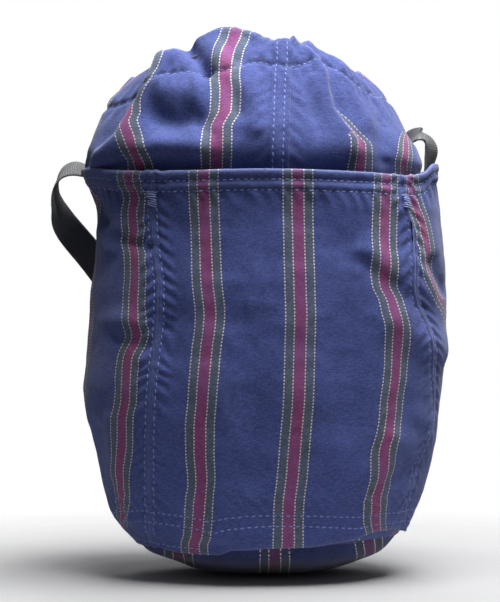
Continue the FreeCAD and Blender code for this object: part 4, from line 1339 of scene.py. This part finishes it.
nt_ = 240
pt_ = PHI0 + 2 * math.pi * np.arange(nt_) / nt_
at_ = np.arange(nt_)
tz, to = [24.0, 29.0, 34.0, 34.0, 29.0, 24.0], [3.5, 3.4, 3.5, 4.4, 4.6, 4.4]
tr_ = []
for z, o in zip(tz, to):
    a = float(pinterp(np.array([z]), S_A)[0])
    x, y = bag_section(pt_, a - o, a * RATIO - o, float(pinterp(np.array([z]), S_C)[0]))
    tr_.append(np.stack([x, y, np.full(nt_, z)], 1))
tf_ = []
for i in range(6):
    j = (i + 1) % 6
    tf_ += np.stack([i * nt_ + at_, i * nt_ + (at_ + 1) % nt_, j * nt_ + (at_ + 1) % nt_, j * nt_ + at_], 1).tolist()
uvt = np.concatenate([np.stack([at_ * 560.0 / nt_, q[:, 2]], 1) for q in tr_])
tape = make("base_seam_tape", np.concatenate(tr_), tf_, uvt, M_TAPE, extra={"wear": np.zeros(6 * nt_)})
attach(tape, "bag")
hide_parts("base_binding_tape")

# ================================================================= lighting
scene = bpy.context.scene
scene.view_settings.view_transform = "Standard"
world = bpy.data.worlds.new("studio")
scene.world = world
world.use_nodes = True
nt = world.node_tree
nt.nodes.clear()
wo = nt.nodes.new("ShaderNodeOutputWorld")
tc = nt.nodes.new("ShaderNodeTexCoord")
sx = nt.nodes.new("ShaderNodeSeparateXYZ")
nt.links.new(tc.outputs["Generated"], sx.inputs[0])
mr = nt.nodes.new("ShaderNodeMapRange")
mr.inputs[1].default_value = -0.25
mr.inputs[2].default_value = 0.6
mr.inputs[3].default_value = 0.04
mr.inputs[4].default_value = 0.16
nt.links.new(sx.outputs[2], mr.inputs[0])
bg1 = nt.nodes.new("ShaderNodeBackground")
bg1.inputs[0].default_value = (0.93, 0.95, 1.0, 1)
nt.links.new(mr.outputs[0], bg1.inputs[1])
bg2 = nt.nodes.new("ShaderNodeBackground")
bg2.inputs[0].default_value = (1, 1, 1, 1)
bg2.inputs[1].default_value = 1.0
lp = nt.nodes.new("ShaderNodeLightPath")
mx = nt.nodes.new("ShaderNodeMixShader")
nt.links.new(lp.outputs["Is Camera Ray"], mx.inputs[0])
nt.links.new(bg1.outputs[0], mx.inputs[1])
nt.links.new(bg2.outputs[0], mx.inputs[2])
nt.links.new(mx.outputs[0], wo.inputs[0])


def area(name, loc, target, size, power, color=(1, 1, 1)):
    d = bpy.data.lights.new(name, "AREA")
    d.energy = power
    d.size = size
    d.color = color
    o = bpy.data.objects.new(name, d)
    scene.collection.objects.link(o)
    o.location = loc
    o.rotation_euler = (Vector(target) - Vector(loc)).to_track_quat("-Z", "Y").to_euler()
    return o


area("key", (0.26, -0.22, 1.55), (0, 0, 0.22), 0.9, 52)
area("front", (0.7, -1.8, 1.1), (0, 0, 0.17), 0.9, 1.0)
area("back", (0.1, 1.3, 1.2), (0, 0, 0.2), 0.9, 9)

fl = bpy.data.meshes.new("floor")
fl.from_pydata([(-6, -6, 0), (6, -6, 0), (6, 6, 0), (-6, 6, 0)], [], [(0, 1, 2, 3)])
flo = bpy.data.objects.new("floor", fl)
scene.collection.objects.link(flo)
FT = Tree("floor_paint")
fn = FT.noise(FT.pos(), 3.0, 2.0)
FT.done(FT.mix(fn, (0.36, 0.36, 0.364, 1), (0.38, 0.38, 0.384, 1)), 0.9)
sp_ = FT.t.nodes.new("ShaderNodeSeparateXYZ")
FT.t.links.new(FT.pos(), sp_.inputs[0])
rr_ = FT.math("SQRT", FT.math("ADD", FT.math("MULTIPLY", sp_.outputs[0], sp_.outputs[0]), FT.math("MULTIPLY", sp_.outputs[1], sp_.outputs[1])))
fade = FT.ramp(FT.math("MULTIPLY", rr_, 1.0), [(0.16, (0, 0, 0)), (0.40, (1, 1, 1))])
tr_ = FT.t.nodes.new("ShaderNodeBsdfTransparent")
mm_ = FT.t.nodes.new("ShaderNodeMixShader")
FT.t.links.new(fade, mm_.inputs[0])
FT.t.links.new(FT.b.outputs[0], mm_.inputs[1])
FT.t.links.new(tr_.outputs[0], mm_.inputs[2])
FT.t.links.new(mm_.outputs[0], FT.out.inputs[0])
fl.materials.append(FT.m)
